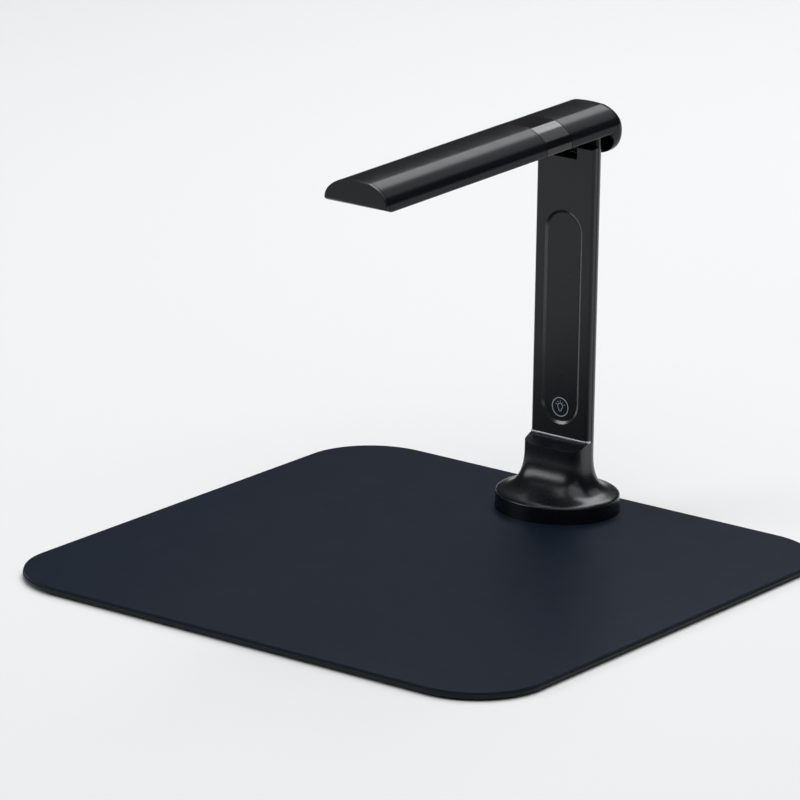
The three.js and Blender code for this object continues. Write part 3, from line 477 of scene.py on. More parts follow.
def smooth(piece, edge=0.0, limit_degrees=35, sharp_degrees=50, segments=3, creases=False):
    """Rounds the sharp edges, and shades the surface smooth between those that stay."""
    if edge:
        bevel = piece.modifiers.new("edges", "BEVEL")
        bevel.width = edge
        bevel.segments = segments
        bevel.limit_method = "ANGLE"
        bevel.angle_limit = radians(limit_degrees)
        bake_mesh(piece)
    piece.data.shade_smooth()
    piece.data.set_sharp_from_angle(angle=radians(sharp_degrees))
    if creases:
        keep_creases(piece)
    weighted = piece.modifiers.new("normals", "WEIGHTED_NORMAL")
    weighted.keep_sharp = True
    return bake_mesh(piece)


def dress(piece, material, slot, body, *nodes, place=Matrix()):
    """Puts a finished piece in its place on its body, in its material, for the nodes that it stands for."""
    piece.data.transform(place)
    piece.data.materials.clear()
    piece.data.materials.append(material)
    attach(piece, body)
    if nodes:
        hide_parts(*nodes)


# Materials

cloud_scale = 70
cloud_detail = 3
smudge_detail = 4
smudge_spread = 3
grain_detail = 2
streak_scale = 900
streak_detail = 3
streak_shade = 0.82
streak_depth = 0.02 * MM
noise_low = 0.25
noise_high = 0.75
coat_roughness = 0.03
glass_refraction = 1.5


def fill(node, values):
    for name, value in values.items():
        node.inputs[name].default_value = value


def shader(name, values):
    """A material, its node tree and shader, and the place on the object that its patterns follow."""
    material = bpy.data.materials.new(name)
    material.use_nodes = True
    tree = material.node_tree
    principled = tree.nodes["Principled BSDF"]
    fill(principled, values)
    return material, tree, principled, tree.nodes.new("ShaderNodeTexCoord").outputs["Object"]


def noise(tree, place, scale, detail):
    texture = tree.nodes.new("ShaderNodeTexNoise")
    fill(texture, {"Scale": scale, "Detail": detail})
    tree.links.new(place, texture.inputs["Vector"])
    return texture.outputs["Fac"]


def stretched(tree, place, stretch):
    mapping = tree.nodes.new("ShaderNodeMapping")
    fill(mapping, {"Scale": stretch})
    tree.links.new(place, mapping.inputs["Vector"])
    return mapping.outputs["Vector"]


def vary_color(tree, principled, value, first, second):
    node = tree.nodes.new("ShaderNodeMix")
    node.data_type = "RGBA"
    fill(node, {"A": (*first, 1), "B": (*second, 1)})
    tree.links.new(value, node.inputs["Factor"])
    tree.links.new(node.outputs["Result"], principled.inputs["Base Color"])


def vary_roughness(tree, principled, value, low, high):
    node = tree.nodes.new("ShaderNodeMapRange")
    node.interpolation_type = "SMOOTHERSTEP"
    fill(node, {"From Min": noise_low, "From Max": noise_high, "To Min": low, "To Max": high})
    tree.links.new(value, node.inputs["Value"])
    tree.links.new(node.outputs["Result"], principled.inputs["Roughness"])


def bump(tree, principled, height, distance, strength):
    node = tree.nodes.new("ShaderNodeBump")
    fill(node, {"Distance": distance, "Strength": strength})
    tree.links.new(height, node.inputs["Height"])
    tree.links.new(node.outputs["Normal"], principled.inputs["Normal"])


def moulded(name, color, roughness, grain_scale, grain_depth, grain_strength,
            lift=1.15, spread=0.015, coat=0.0, specular=0.5):
    """Moulded plastic or rubber: a fine grain, slightly uneven colour and gloss."""
    material, tree, principled, place = shader(name, {
        "Specular IOR Level": specular, "Coat Weight": coat, "Coat Roughness": coat_roughness})
    cloudy = noise(tree, place, cloud_scale, cloud_detail)
    vary_color(tree, principled, cloudy, color, tuple(channel * lift for channel in color))
    vary_roughness(tree, principled, cloudy, roughness - spread, roughness + spread)
    bump(tree, principled, noise(tree, place, grain_scale, grain_detail), grain_depth * MM, grain_strength)
    return material


def metal(name, color, roughness, stretch, streak_strength, spread=0.08):
    """Rolled, plated or brushed metal, with streaks along the axis that is stretched least."""
    material, tree, principled, place = shader(name, {"Metallic": 1})
    streaks = noise(tree, stretched(tree, place, stretch), streak_scale, streak_detail)
    vary_color(tree, principled, streaks, tuple(channel * streak_shade for channel in color), color)
    vary_roughness(tree, principled, streaks, roughness - spread, roughness + spread)
    bump(tree, principled, streaks, streak_depth, streak_strength)
    return material


def clear(name, color, roughness):
    """Clear glass with faint smudges."""
    material, tree, principled, place = shader(name, {
        "Base Color": (*color, 1), "Transmission Weight": 1, "IOR": glass_refraction})
    smudges = noise(tree, place, cloud_scale, smudge_detail)
    vary_roughness(tree, principled, smudges, roughness, roughness * smudge_spread)
    return material


# Each moulded finish has a colour, a roughness, and its grain's scale, depth in millimetres and strength.

satin = moulded("satin_black_plastic", (0.0045, 0.0052, 0.007), 0.23, 2600, 0.03, 0.1, specular=0.17)
foot_satin = moulded("foot_satin_plastic", (0.002, 0.0032, 0.0055), 0.27, 2600, 0.03, 0.1, specular=0.5)
cap_satin = moulded("cap_satin_plastic", (0.0052, 0.006, 0.008), 0.26, 2600, 0.03, 0.1, specular=0.27)
column_satin = moulded("column_satin_plastic", (0.006, 0.007, 0.009), 0.3, 2600, 0.03, 0.12,
                       specular=0.38)
panel_finish = moulded("touch_panel_plastic", (0.004, 0.005, 0.0065), 0.27, 3200, 0.02, 0.06,
                       specular=0.37)
gloss = moulded("gloss_black_plastic", (0.002, 0.002, 0.003), 0.13, 900, 0.02, 0.02,
                spread=0.01, specular=0.4)
# The recess edge's plastic is lighter than the column's. This is a painted highlight on the bevel, on top of
# its stronger gloss.
highlight_edge_gloss = moulded("recess_edge_highlight_plastic", (0.012, 0.0135, 0.016), 0.24, 900, 0.02, 0.02,
                     spread=0.01, specular=0.9)
plate_finish = moulded("base_plate_plastic", (0.004, 0.005, 0.008), 0.42, 2200, 0.04, 0.2, specular=0.2)
mat_finish = moulded("board_mat_slate", (0.007, 0.0118, 0.0225), 0.4, 1500, 0.06, 0.3, specular=0.08)
foam = moulded("black_foam", (0.003, 0.003, 0.003), 0.9, 1200, 0.08, 0.5, specular=0.1)
rubber = moulded("black_rubber", (0.012, 0.012, 0.012), 0.8, 1800, 0.08, 0.4, specular=0.35)
lamp_finish = moulded("frosted_lamp_cover", (0.8, 0.8, 0.77), 0.5, 1400, 0.04, 0.2, lift=1.03)
print_white = moulded("touch_key_print", (0.46, 0.52, 0.6), 0.45, 2400, 0.01, 0.1, lift=1.06)
circuit = moulded("circuit_board_green", (0.01, 0.075, 0.035), 0.45, 1200, 0.03, 0.2, lift=1.5)
lens_coated = moulded("coated_lens_glass", (0.012, 0.006, 0.03), 0.05, 900, 0.01, 0.0,
                      spread=0.01, coat=1.0, specular=0.8)
lens_clear = clear("lens_cover_glass", (0.22, 0.24, 0.27), 0.01)

# Each metal has its colour, its roughness, and the stretch and strength of its streaks.

bright = metal("brushed_lip_trim", (0.62, 0.67, 0.74), 0.27, (0.04, 1, 1), 0.12)
steel = metal("rolled_steel", (0.56, 0.57, 0.58), 0.34, (1, 1, 0.05), 0.15)
plated = metal("plated_screw_steel", (0.34, 0.35, 0.37), 0.36, (1, 1, 1), 0.08)
cast = metal("coated_die_cast_metal", (0.05, 0.052, 0.056), 0.5, (0.6, 0.6, 0.6), 0.3)
brass = metal("washer_brass", (0.66, 0.47, 0.2), 0.3, (1, 1, 1), 0.1)


# Base board, mat and pads

def node_middle(node):
    low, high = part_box(node)
    return (low + high) / 2


def base_plate():
    below = plate_low.z - overrun
    plate = soft_plate("base_plate", plate_low, plate_high, board_corner_radius, plate_edge)
    tools = []
    for number in range(1, pad_count + 1):
        outline = circle(pad_radius + gap, round_steps, node_middle(f"rubber_pad_{number}"))
        tools.append(along_z("pad_recess", outline, below, pad_high.z))
    for number in range(1, foot_screw_count + 1):
        outline = circle(foot_screw_radius + gap, small_steps, node_middle(f"foot_screw_{number}"))
        tools.append(along_z("screw_recess", outline, below, plate_low.z + foot_screw_depth))
    return smooth(cut(plate, *tools))


def slate_mat():
    radius = board_corner_radius - (plate_high.x - mat_high.x)
    mat = soft_plate("slate_mat", mat_low, mat_high, radius, mat_lower_edge, mat_edge)
    outline = circle(foot_half_width + gap, foot_steps, (0, column_front), foot_half_depth + gap)
    return smooth(cut(mat, along_z("foot_way", outline, mat_low.z - overrun, mat_high.z + overrun)))


dress(base_plate(), plate_finish, "board", "base", "base_board")
dress(slate_mat(), mat_finish, "mat", "base", "board_mat")
for number in range(1, pad_count + 1):
    node = f"rubber_pad_{number}"
    pad = soft_disc(f"pad_{number}", pad_radius, pad_low.z, pad_high.z, pad_edge,
                    center=node_middle(node), top_edge=pad_upper_edge)
    dress(smooth(pad), rubber, "rubber", "base", node)


# Foot: the neck's plan flows into the wide base's plan along an S-shaped flare

def signed_power(value, power):
    return copysign(abs(value) ** power, value)


def neck_point(angle, half_width, front_reach, back_depth):
    c = cos(angle)
    s = sin(angle)
    if s >= 0:
        return half_width * c, front_shell_depth + back_depth * s
    power = 2 / neck_corner_power
    return half_width * signed_power(c, power), front_shell_depth + front_reach * signed_power(s, power)


def foot_ring(share, z, wall, front_reach):
    """The foot's plan at one height: the neck's at share 0, the base's at share 1."""
    points = []
    for i in range(foot_steps):
        angle = tau * i / foot_steps
        neck_x, neck_y = neck_point(angle, column_half - wall, front_reach, rear_shell_depth - wall)
        base_x = (foot_half_width - wall) * cos(angle)
        base_y = (foot_half_depth - wall) * sin(angle)
        points.append((neck_x + (base_x - neck_x) * share, neck_y + (base_y - neck_y) * share, z))
    return points


def foot_body(name, floor, top, wall, front_reach):
    """The plans change along a smooth step, while the height follows a cubic curve."""
    rings = [foot_ring(1, floor, wall, front_reach)]
    for i in range(flare_steps + 1):
        t = i / flare_steps
        share = 1 - (3 * t * t - 2 * t * t * t)
        height = (foot_rim_height * (1 - t) ** 3 + 3 * flare_lower_height * t * (1 - t) ** 2
                  + 3 * flare_upper_height * t ** 2 * (1 - t) + neck_base_height * t ** 3)
        rings.append(foot_ring(share, height - wall, wall, front_reach))
    rings.append(foot_ring(0, top, wall, front_reach))
    return loft(name, rings)


def fine_foot():
    floor = foot_low.z - board_top
    above = neck_top + overrun
    reach = 2 * neck_front_reach
    outer = foot_body("fine_foot", floor, neck_top, 0, front_shell_depth + neck_front_reach)
    inner = foot_body("foot_hollow", floor - overrun, above, foot_wall, front_shell_depth - column_wall)
    profile = ((0, above), (-reach, above), (-reach, neck_top - 2 * ledge_drop), (0, neck_top))
    ledge = across("foot_ledge", profile, foot_half_width)
    slot = along_y("socket_slot", socket_outline(-gap), foot_half_depth / 2, foot_half_depth + overrun)
    return smooth(cut(outer, inner, ledge, slot), foot_round, limit_degrees=40)


def socket_outline(inset):
    half_x = (socket_high.x - socket_low.x) / 2 - inset
    half_z = (socket_high.z - socket_low.z) / 2 - inset
    outline = rounded_outline(half_x, half_z, half_z * socket_corner_share, small_corner_steps)
    return [(x, z + socket_middle) for x, z in outline]


def fine_socket():
    front = socket_low.y - column_front
    back = socket_high.y - column_front
    can = along_y("fine_socket", socket_outline(0), front, back)
    bore = along_y("socket_bore", socket_outline(socket_wall), front + socket_wall, back + overrun)
    third = (socket_high.x - socket_low.x) / 3
    tongue_end = back - (back - front) / 5
    tongue = block("socket_tongue", (-third, front, socket_middle - tongue_thickness / 2),
                   (third, tongue_end, socket_middle + tongue_thickness / 2))
    return smooth(join(cut(can, bore), tongue), socket_round)


# Column

def front_outline(inset, back):
    radius = max(column_edge_round - inset, column_edge_round / 4)
    return rounded_front(column_half - inset, inset, radius, back)


def notch_block(grow):
    return block("notch", (-notch_half - grow, -overrun, notch_bottom - grow),
                 (notch_half + grow, column_depth + overrun, pivot_z + 2 * rear_ear_radius))


def axle_hole():
    outline = circle(washer_radius + gap, round_steps, (pivot_y, pivot_z))
    return across("axle_hole", outline, notch_half + column_wall + gap)


def recess_outline(inset):
    return stadium(recess_width / 2 - inset, recess_low + inset, recess_high - inset)


def recess_tool():
    levels = ((recess_depth, recess_bevel), (0, 0), (-overrun, -overrun))
    return loft("recess", [[(x, depth, z) for x, z in recess_outline(inset)] for depth, inset in levels])


def fine_front_shell():
    shell = along_z("fine_front_shell", front_outline(0, front_shell_depth), lip_top, ear_top)
    above = ear_top + overrun
    chamfer = ((-overrun, ear_top - ear_chamfer - overrun), (ear_chamfer + overrun, above), (-overrun, above))
    cut(shell, notch_block(0), across("ear_wedge", chamfer, 2 * column_half))
    smooth(shell, ear_edge, segments=4)
    hollow = along_z("front_hollow", front_outline(column_wall, front_shell_depth + overrun),
                     lip_top - overrun, ear_top - column_wall)
    cut(hollow, notch_block(column_wall))
    cut(shell, hollow, recess_tool(), axle_hole())
    return smooth(shell, front_round, limit_degrees=20)


def rear_outline(inset, start):
    depth = rear_shell_depth - inset
    first = degrees(asin(max(start - front_shell_depth, 0) / depth))
    return arc((0, front_shell_depth), column_half - inset, first, 180 - first, round_steps, depth)


def rear_side(name, inset):
    radius = rear_ear_radius - inset
    back = column_depth + overrun
    shoulder = pivot_z - rear_ear_radius
    outline = ([(0, neck_top - overrun), (back, neck_top - overrun), (back, shoulder),
                (pivot_y + radius, shoulder)]
               + arc((pivot_y, pivot_z), radius, 0, 180, small_steps) + [(0, pivot_z)])
    return across(name, outline, 2 * column_half)


def fine_rear_shell():
    top = pivot_z + 2 * rear_ear_radius
    shell = along_z("fine_rear_shell", rear_outline(0, front_shell_depth + gap), neck_top, top)
    common(shell, rear_side("rear_profile", 0))
    hollow = along_z("rear_hollow", rear_outline(column_wall, 0), neck_top - overrun, top)
    common(hollow, rear_side("rear_hollow_profile", column_wall))
    cut(hollow, notch_block(column_wall))
    cut(shell, hollow, notch_block(0), axle_hole())
    tools = []
    for height in shell_screw_heights:
        outline = circle(shell_screw_radius + gap, small_steps, (0, height))[::-1]
        tools.append(along_y("screw_recess", outline, column_depth - column_wall, column_depth + overrun))
    cut(shell, *tools)
    return smooth(shell, rear_round, limit_degrees=40)


def ear_seal(side):
    """A dark foam plate that closes the rear shell's ear towards the front."""
    inner_radius = rear_ear_radius - column_wall - gap / 2
    near = notch_half + column_wall + gap / 2
    far = column_half - column_wall - gap / 2
    front = front_shell_depth + gap
    top = pivot_z + sqrt(inner_radius ** 2 - (pivot_y - front) ** 2)
    left = near if side > 0 else -far
    plate = block("ear_seal", (left, front, ear_top - column_wall), (left + far - near, front + gap, top))
    return smooth(plate, seal_round)


def fine_panel():
    rings = []
    for inset, depth in edge_profile(panel_edge, panel_front, recess_depth, top_edge=0):
        rings.append(section(recess_outline(recess_bevel + panel_gap + inset), depth))
    return smooth(loft("fine_touch_panel", rings))


def recess_edge():
    """The recess's bevel as a thin ring on the shell's own bevel, in a glossier plastic that is lighter than
    the shell's. The lighter colour is a painted highlight along the bevel, and the gloss catches the lamps.
    """
    outlines = []
    for inset, lift in ((0, 0), (0, edge_film), (recess_bevel, edge_film), (recess_bevel, 0)):
        depth = inset * recess_depth / recess_bevel - lift
        outlines.append([(x, depth, z) for x, z in recess_outline(inset)])
    return smooth(closed_sweep("recess_edge", list(zip(*outlines))), sharp_degrees=30)


def fine_lip():
    half = (lip_high.x - lip_low.x) / 2
    outline = rounded_front(half, lip_low.y - column_front, column_edge_round, lip_high.y - column_front)
    return smooth(along_z("fine_lip_trim", outline, neck_top, lip_top), lip_round, segments=5)


# The touch key's sign: a lamp bulb with rays inside a ring

def stroke(name, points, width, closed):
    """A flat band of even width along points in the plane of X and Z, on the panel's front."""
    count = len(points)
    left = []
    right = []
    for i, (x, z) in enumerate(points):
        before = points[(i - 1) % count] if closed or i > 0 else points[i]
        after = points[(i + 1) % count] if closed or i < count - 1 else points[i]
        along = Vector((after[0] - before[0], after[1] - before[1])).normalized()
        aside = Vector((-along.y, along.x)) * width / 2
        left.append((x + aside.x, z + aside.y))
        right.append((x - aside.x, z - aside.y))
    vertices = [(x, depth, z) for depth in (panel_front, panel_front - icon_proud)
                for x, z in left + right]
    back_left, back_right, front_left, front_right = (k * count for k in range(4))
    sides = ((back_left, back_right), (front_right, front_left), (front_left, back_left),
             (back_right, front_right))
    faces = []
    for i in range(count if closed else count - 1):
        j = (i + 1) % count
        faces += [(a + i, a + j, b + j, b + i) for a, b in sides]
    if not closed:
        last = count - 1
        faces.append((back_left, back_right, front_right, front_left))
        faces.append((last, front_left + last, front_right + last, back_right + last))
    return mesh_object(name, vertices, faces)


def touch_sign():
    ring = circle(icon_radius - icon_line / 2, round_steps, (0, icon_height))
    bulb = arc((0, bulb_height), bulb_radius, bulb_first_degrees, bulb_last_degrees, small_steps)
    bulb = [(bulb_neck, bulb_neck_low)] + bulb + [(-bulb_neck, bulb_neck_low)]
    collar = [(-bulb_neck, collar_low), (bulb_neck, collar_low)]
    lines = [(ring, icon_line, True), (bulb, icon_fine_line, False), (collar, icon_fine_line, False)]
    for turn in ray_degrees:
        angle = radians(turn)
        ray = [(away * cos(angle), bulb_height + away * sin(angle)) for away in ray_ends]
        lines.append((ray, icon_fine_line, False))
    return [stroke(f"touch_sign_{number}", *line) for number, line in enumerate(lines, 1)]


# Arm

def crown_at(x, half_width, height):
    """The crown's height above the arm's sides: flatter between the two creases."""
    away = min(abs(x), half_width)
    crease = crease_half_width * half_width / arm_half_width

    def curve(distance):
        return height * (1 - (distance / half_width) ** arm_crown_power) ** (1 / arm_crown_power)

    if away < crease:
        return curve(crease) + crease_rise * (1 - (away / crease) ** 2)
    return curve(away)


def crown_places(half_width):
    crease = crease_half_width * half_width / arm_half_width
    places = []
    for i in range(crown_steps):
        angle = i / crown_steps * acos(crease / half_width)
        places.append(half_width * cos(angle))
    places += [crease * share for share in crease_shares]
    return places + [0] + [-x for x in reversed(places)]


def crown_line(half_width, height):
    return [(x, arm_side_top + crown_at(x, half_width, height)) for x in crown_places(half_width)]


def arm_path(half_width, floor, radius, height, first_degrees=-90):
    """From the lower right, over the top, to the lower left."""
    center = (half_width - radius, floor + radius)
    corner = arc(center, radius, first_degrees, 0, small_corner_steps)
    return corner + crown_line(half_width, height) + [(-x, z) for x, z in reversed(corner)]


def outer_path(inset, first_degrees=-90):
    return arm_path(arm_half_width - inset, arm_underside + inset, arm_corner - inset,
                    arm_crown_height - inset, first_degrees)


def inner_path(floor):
    half = arm_half_width - arm_side_wall
    return [(half, floor)] + crown_line(half, arm_crown_height - arm_wall) + [(-half, floor)]


def shell_between(name, far, near):
    """A stretch of the arm's shell, open below, with fine rounded edges at its seams."""
    inner = inner_path(inner_floor)[::-1]
    wall_start = -degrees(acos((arm_corner - arm_side_wall) / arm_corner))
    return loft(name, [section(outer_path(inset, wall_start) + inner, y)
                       for inset, y in edge_profile(seam_edge, far, near)])


def fine_top_shell():
    return smooth(cut(shell_between("fine_top_shell", far_end, -band_far - gap), bow_tool()), creases=True)


def fine_gloss_band():
    return smooth(shell_between("fine_gloss_band", -band_far, -band_near - gap), creases=True)


hood_center_height = arm_side_top + crown_at(0, arm_half_width, arm_crown_height) - hood_radius


def hood_end(name, half_width, radius, crown_height):
    """The arm's section turned about an axis across the arm. Its plan grows squarer towards the back."""
    places = crown_places(half_width)
    top = crown_at(0, half_width, crown_height)
    depth_share = hood_depth / hood_radius
    vertices = []
    for step in range(hood_steps + 1):
        turn = 90 + (hood_end_degrees - 90) * step / hood_steps
        angle = radians(turn)
        square_share = min((90 - turn) / 90, 1)
        behind = signed_power(cos(angle), 2 / hood_side_power)
        above = signed_power(sin(angle), 2 / hood_side_power)
        for x in places:
            plain = crown_at(x, half_width, crown_height)
            square = top * (1 - abs(x / half_width) ** hood_end_power) ** (1 / hood_end_power)
            away = radius - top + plain + (square - plain) * square_share
            vertices.append((x, hood_center_distance + depth_share * away * behind,
                             hood_center_height + away * above))
    count = len(places)
    faces = []
    for step in range(hood_steps):
        for i in range(count - 1):
            here = step * count + i
            faces.append((here, here + count, here + count + 1))
            faces.append((here, here + count + 1, here + 1))
    right = len(vertices)
    left = right + 1
    center = right + 2
    vertices += [(x, hood_center_distance, hood_center_height) for x in (half_width, -half_width, 0)]
    for step in range(hood_steps):
        faces.append((right, (step + 1) * count, step * count))
        faces.append((left, step * count + count - 1, (step + 1) * count + count - 1))
    first_rim = [right] + list(range(count)) + [left]
    last_rim = [right] + [hood_steps * count + i for i in range(count)] + [left]
    for i in range(len(first_rim) - 1):
        faces.append((center, first_rim[i], first_rim[i + 1]))
        faces.append((center, last_rim[i + 1], last_rim[i]))
    return mesh_object(name, vertices, faces)


def fine_hood():
    front = -band_near - overrun
    low = hood_center_height - 2 * hood_radius
    half = arm_half_width - arm_side_wall
    rings = [section(outer_path(inset), y)
             for inset, y in edge_profile(seam_edge, -band_near, hood_center_distance, top_edge=0)]
    hood = loft("fine_hood", rings)
    join(hood, hood_end("hood_round_end", arm_half_width, hood_radius, arm_crown_height))
    inner_end = hood_end("hood_inner_end", half, hood_radius - arm_wall, arm_crown_height - arm_wall)
    inner = along_y("hood_inner", inner_path(arm_underside - overrun), front, hood_center_distance + gap)
    way_back = column_depth - pivot_y + hood_back_gap
    column_way = block("column_way", (-half, front, low), (half, way_back, arm_side_top))
    round_center = (way_back - hood_arch_round, arm_underside - hood_arch_round)
    arch = ([(front, low), (way_back, low)] + arc(round_center, hood_arch_round, 0, 90, small_steps)
            + [(front, arm_underside)])
    cut(hood, inner, inner_end, column_way, across("below_arm", arch, 2 * arm_half_width))
    return smooth(hood, hood_round, limit_degrees=42, creases=True)


def bow_tool():
    """The arm's underside curves up to its end face, like a bow."""
    before = -arm_reach - overrun
    below = arm_underside - overrun
    center = (-arm_reach + bow_length, arm_underside + bow_height)
    curve = arc(center, bow_length, 180, 270, small_steps, bow_height)
    outline = [(before, center[1])] + curve + [(center[0], below), (before, below)]
    return across("bow", outline[::-1], 2 * arm_half_width)


def fine_end_cap():
    rings = []
    for inset, y in edge_profile(cap_edge, -arm_reach, -arm_reach + cap_thickness, seam_edge / 2):
        path = arm_path(arm_half_width - inset, arm_underside, arm_corner, arm_crown_height - inset)
        rings.append(section(path, y))
    cap = cut(loft("fine_end_cap", rings), bow_tool())
    return smooth(cap, cap_round, limit_degrees=40, creases=True)


# Arm underside: cover, camera, lamp and screws

def screw(name, head_radius, head_height, shank_radius, length):
    """A flat-headed screw, its head's face at Z 0 and its shank towards +Z, with a tapered cross slot."""
    head = soft_disc(name, head_radius, 0, head_height, head_radius * head_edge_share)
    join(head, along_z("shank", circle(shank_radius, small_steps), head_height / 2, length))
    levels = ((-overrun, drive_mouth_share), (0, 1), (head_height * drive_depth_share, drive_bottom_share))
    arms = []
    for turn in (0, 90):
        rings = []
        for height, share in levels:
            long = head_radius * drive_length_share * share
            short = head_radius * drive_width_share * share
            corners = ((long, -short), (long, short), (-long, short), (-long, -short))
            rings.append([(x, y, height) if turn == 0 else (-y, x, height) for x, y in corners])
        arms.append(loft("cross_slot", rings))
    return smooth(cut(head, *arms))


cover_screws = []
for number in range(1, cover_screw_count + 1):
    place = Matrix.Rotation(-droop, 3, "X") @ (node_middle(f"cover_screw_{number}") - pivot)
    cover_screws.append((place.x, place.y))


def screw_holes(radius, low, high):
    return [along_z("screw_hole", circle(radius + gap, small_steps, place), low, high)
            for place in cover_screws]


def lamp_outline(grow, corner):
    outline = rounded_outline(lamp_half_width + grow, lamp_half_length + grow, corner, small_corner_steps)
    return [(x, y + lamp_middle) for x, y in outline]


def fine_bottom_cover():
    below = arm_underside - overrun
    above = cover_top + overrun
    cover = block("fine_bottom_cover", (-cover_half, far_end, arm_underside),
                  (cover_half, -cover_open_distance, cover_top))
    lens_hole = circle(lens_window_radius + gap, round_steps, (0, -lens_distance))
    cut(cover, along_z("lens_hole", lens_hole, below, above),
        along_z("lamp_slot", lamp_outline(gap, lamp_corner), below, above))
    common(cover, along_y("cover_round", outer_path(0), far_end - overrun, -cover_open_distance + overrun))
    cut(cover, bow_tool())
    cut(cover, *screw_holes(cover_screw_head_radius, below, arm_underside + cover_screw_recess))
    return smooth(cover, cover_round)


def fine_lamp():
    """A frosted cover with fine ribs across its length, on a flange inside the arm."""
    rings = []
    for inset, z in edge_profile(lamp_edge, arm_underside, cover_top + gap, top_edge=0):
        rings.append([(x, y, z) for x, y in lamp_outline(-inset, lamp_corner - inset)])
    lamp = loft("fine_lamp", rings)
    join(lamp, along_z("lamp_flange", lamp_outline(lamp_flange, lamp_corner),
                       cover_top + gap, cover_top + 2 * gap + lamp_board_thickness))
    grooves = []
    count = int((lamp_half_length - lamp_corner) / rib_spacing)
    mouth = arm_underside - rib_depth
    for i in range(-count, count + 1):
        y = lamp_middle + i * rib_spacing
        corners = ((y - rib_half_width, mouth), (y + rib_half_width, mouth), (y, arm_underside + rib_depth))
        grooves.append(across("rib_groove", corners, lamp_half_width - rib_margin))
    return smooth(cut(lamp, merge(grooves)), rib_round)


def fine_lens_barrel():
    """A turned black ring with steps inside, so that little light comes back from it."""
    low = cover_top + gap
    high = low + lens_barrel_length
    outer = lens_barrel_radius
    bore = lens_glass_radius + gap
    depth = lens_barrel_length / 2
    profile = [(outer - lens_barrel_edge, low), (outer, low + lens_barrel_edge), (outer, high),
               (lens_back_hole, high), (lens_back_hole, low + depth), (bore, low + depth)]
    step = (outer - bore - lens_barrel_lip) / lens_barrel_steps
    for i in range(lens_barrel_steps):
        radius = bore + step * i
        height = low + depth * (1 - (i + 1) / (lens_barrel_steps + 1))
        profile += [(radius, height), (radius + step, height)]
    profile.append((outer - lens_barrel_lip, low))
    sections = [[(radius * x, radius * y - lens_distance, height) for radius, height in profile]
                for x, y in circle(1, round_steps)]
    return smooth(closed_sweep("fine_lens_barrel", sections))


def fine_lens_glass():
    low = cover_top + gap + lens_barrel_length / 2
    rings = []
    for i in range(1, lens_glass_steps + 1):
        angle = pi / 2 * i / lens_glass_steps
        outline = circle(lens_glass_radius * sin(angle), round_steps, (0, -lens_distance))
        rings.append([(x, y, low - lens_bulge * cos(angle)) for x, y in outline])
    return smooth(loft("fine_lens_glass", rings), sharp_degrees=60)


def fine_lens_window():
    high = arm_underside + lens_window_thickness
    return smooth(soft_disc("fine_lens_window", lens_window_radius, arm_underside, high, lens_window_edge,
                            center=(0, -lens_distance)))


def fine_frame():
    half = notch_half - 2 * gap
    barrel = across("fine_arm_frame", circle(barrel_radius, round_steps * 2), half)
    neck = block("frame_neck", (-half, -barrel_neck_half_depth, 0), (half, barrel_neck_half_depth, frame_top))
    front = -arm_reach + cap_thickness + frame_front_margin
    plate = block("frame_plate", (-frame_half_width, front, frame_floor),
                  (frame_half_width, frame_back_distance, frame_top))
    join(barrel, neck, plate)
    below = frame_floor - overrun
    above = frame_top + overrun
    opening = camera_body_half + gap
    cut(barrel, across("pin_bore", circle(pin_radius + gap, small_steps), column_half),
        block("camera_opening", (-opening, -lens_distance - opening, below),
              (opening, -lens_distance + opening, above)),
        *screw_holes(cover_screw_radius, below, above))
    return smooth(barrel, frame_round, limit_degrees=40)


# Each piece in its finish, in the place of its node

device_pieces = (
    (fine_foot(), foot_satin, "satin", "foot_housing"),
    (fine_socket(), plated, "steel", "data_socket"),
    (fine_front_shell(), column_satin, "satin", "column_front_shell"),
    (fine_rear_shell(), satin, "satin", "column_rear_shell"),
    (fine_panel(), panel_finish, "panel", "touch_panel"),
    # The recess's bevel ring carries a painted highlight in its lighter colour.
    (recess_edge(), highlight_edge_gloss, "gloss"),
    (ear_seal(1), foam, "rubber"),
    (ear_seal(-1), foam, "rubber"),
    (fine_lip(), bright, "bright", "column_lip_trim"),
    *((line, print_white, "bright") for line in touch_sign()),
)
for piece, material, slot, *nodes in device_pieces:
    dress(piece, material, slot, "base", *nodes, place=device_place)

arm_pieces = (
    (fine_top_shell(), satin, "satin", "arm_top_shell"),
    (fine_gloss_band(), gloss, "gloss", "gloss_band"),
    (fine_end_cap(), cap_satin, "satin", "arm_end_cap"),
    (fine_hood(), satin, "satin", "arm_rear_hood"),
    (fine_bottom_cover(), satin, "satin", "arm_bottom_cover"),
    (fine_lamp(), lamp_finish, "lamp", "lamp_diffuser"),
    (fine_lens_barrel(), gloss, "gloss", "lens_barrel"),
    (fine_lens_glass(), lens_coated, "glass", "lens_glass"),
    (fine_lens_window(), lens_clear, "glass", "lens_window"),
    (fine_frame(), cast, "cast", "arm_frame"),
)
for piece, material, slot, *nodes in arm_pieces:
    dress(piece, material, slot, "arm", *nodes, place=arm_place)


def fit_screw(node, body, place, *sizes):
    dress(screw(f"fine_{node}", *sizes), plated, "screw", body, node, place=place)


for number, (x, y) in enumerate(cover_screws, 1):
    place = arm_place @ Matrix.Translation((x, y, cover_screw_face))
    fit_screw(f"cover_screw_{number}", "arm", place, cover_screw_head_radius, cover_screw_head_height,
              cover_screw_radius, frame_top - cover_screw_face)

for number in range(1, foot_screw_count + 1):
    node = f"foot_screw_{number}"
    low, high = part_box(node)
    middle = node_middle(node)
    place = Matrix.Translation((middle.x, middle.y, low.z))
    fit_screw(node, "base", place, foot_screw_radius, foot_screw_head_height, foot_screw_shank,
              high.z - low.z)

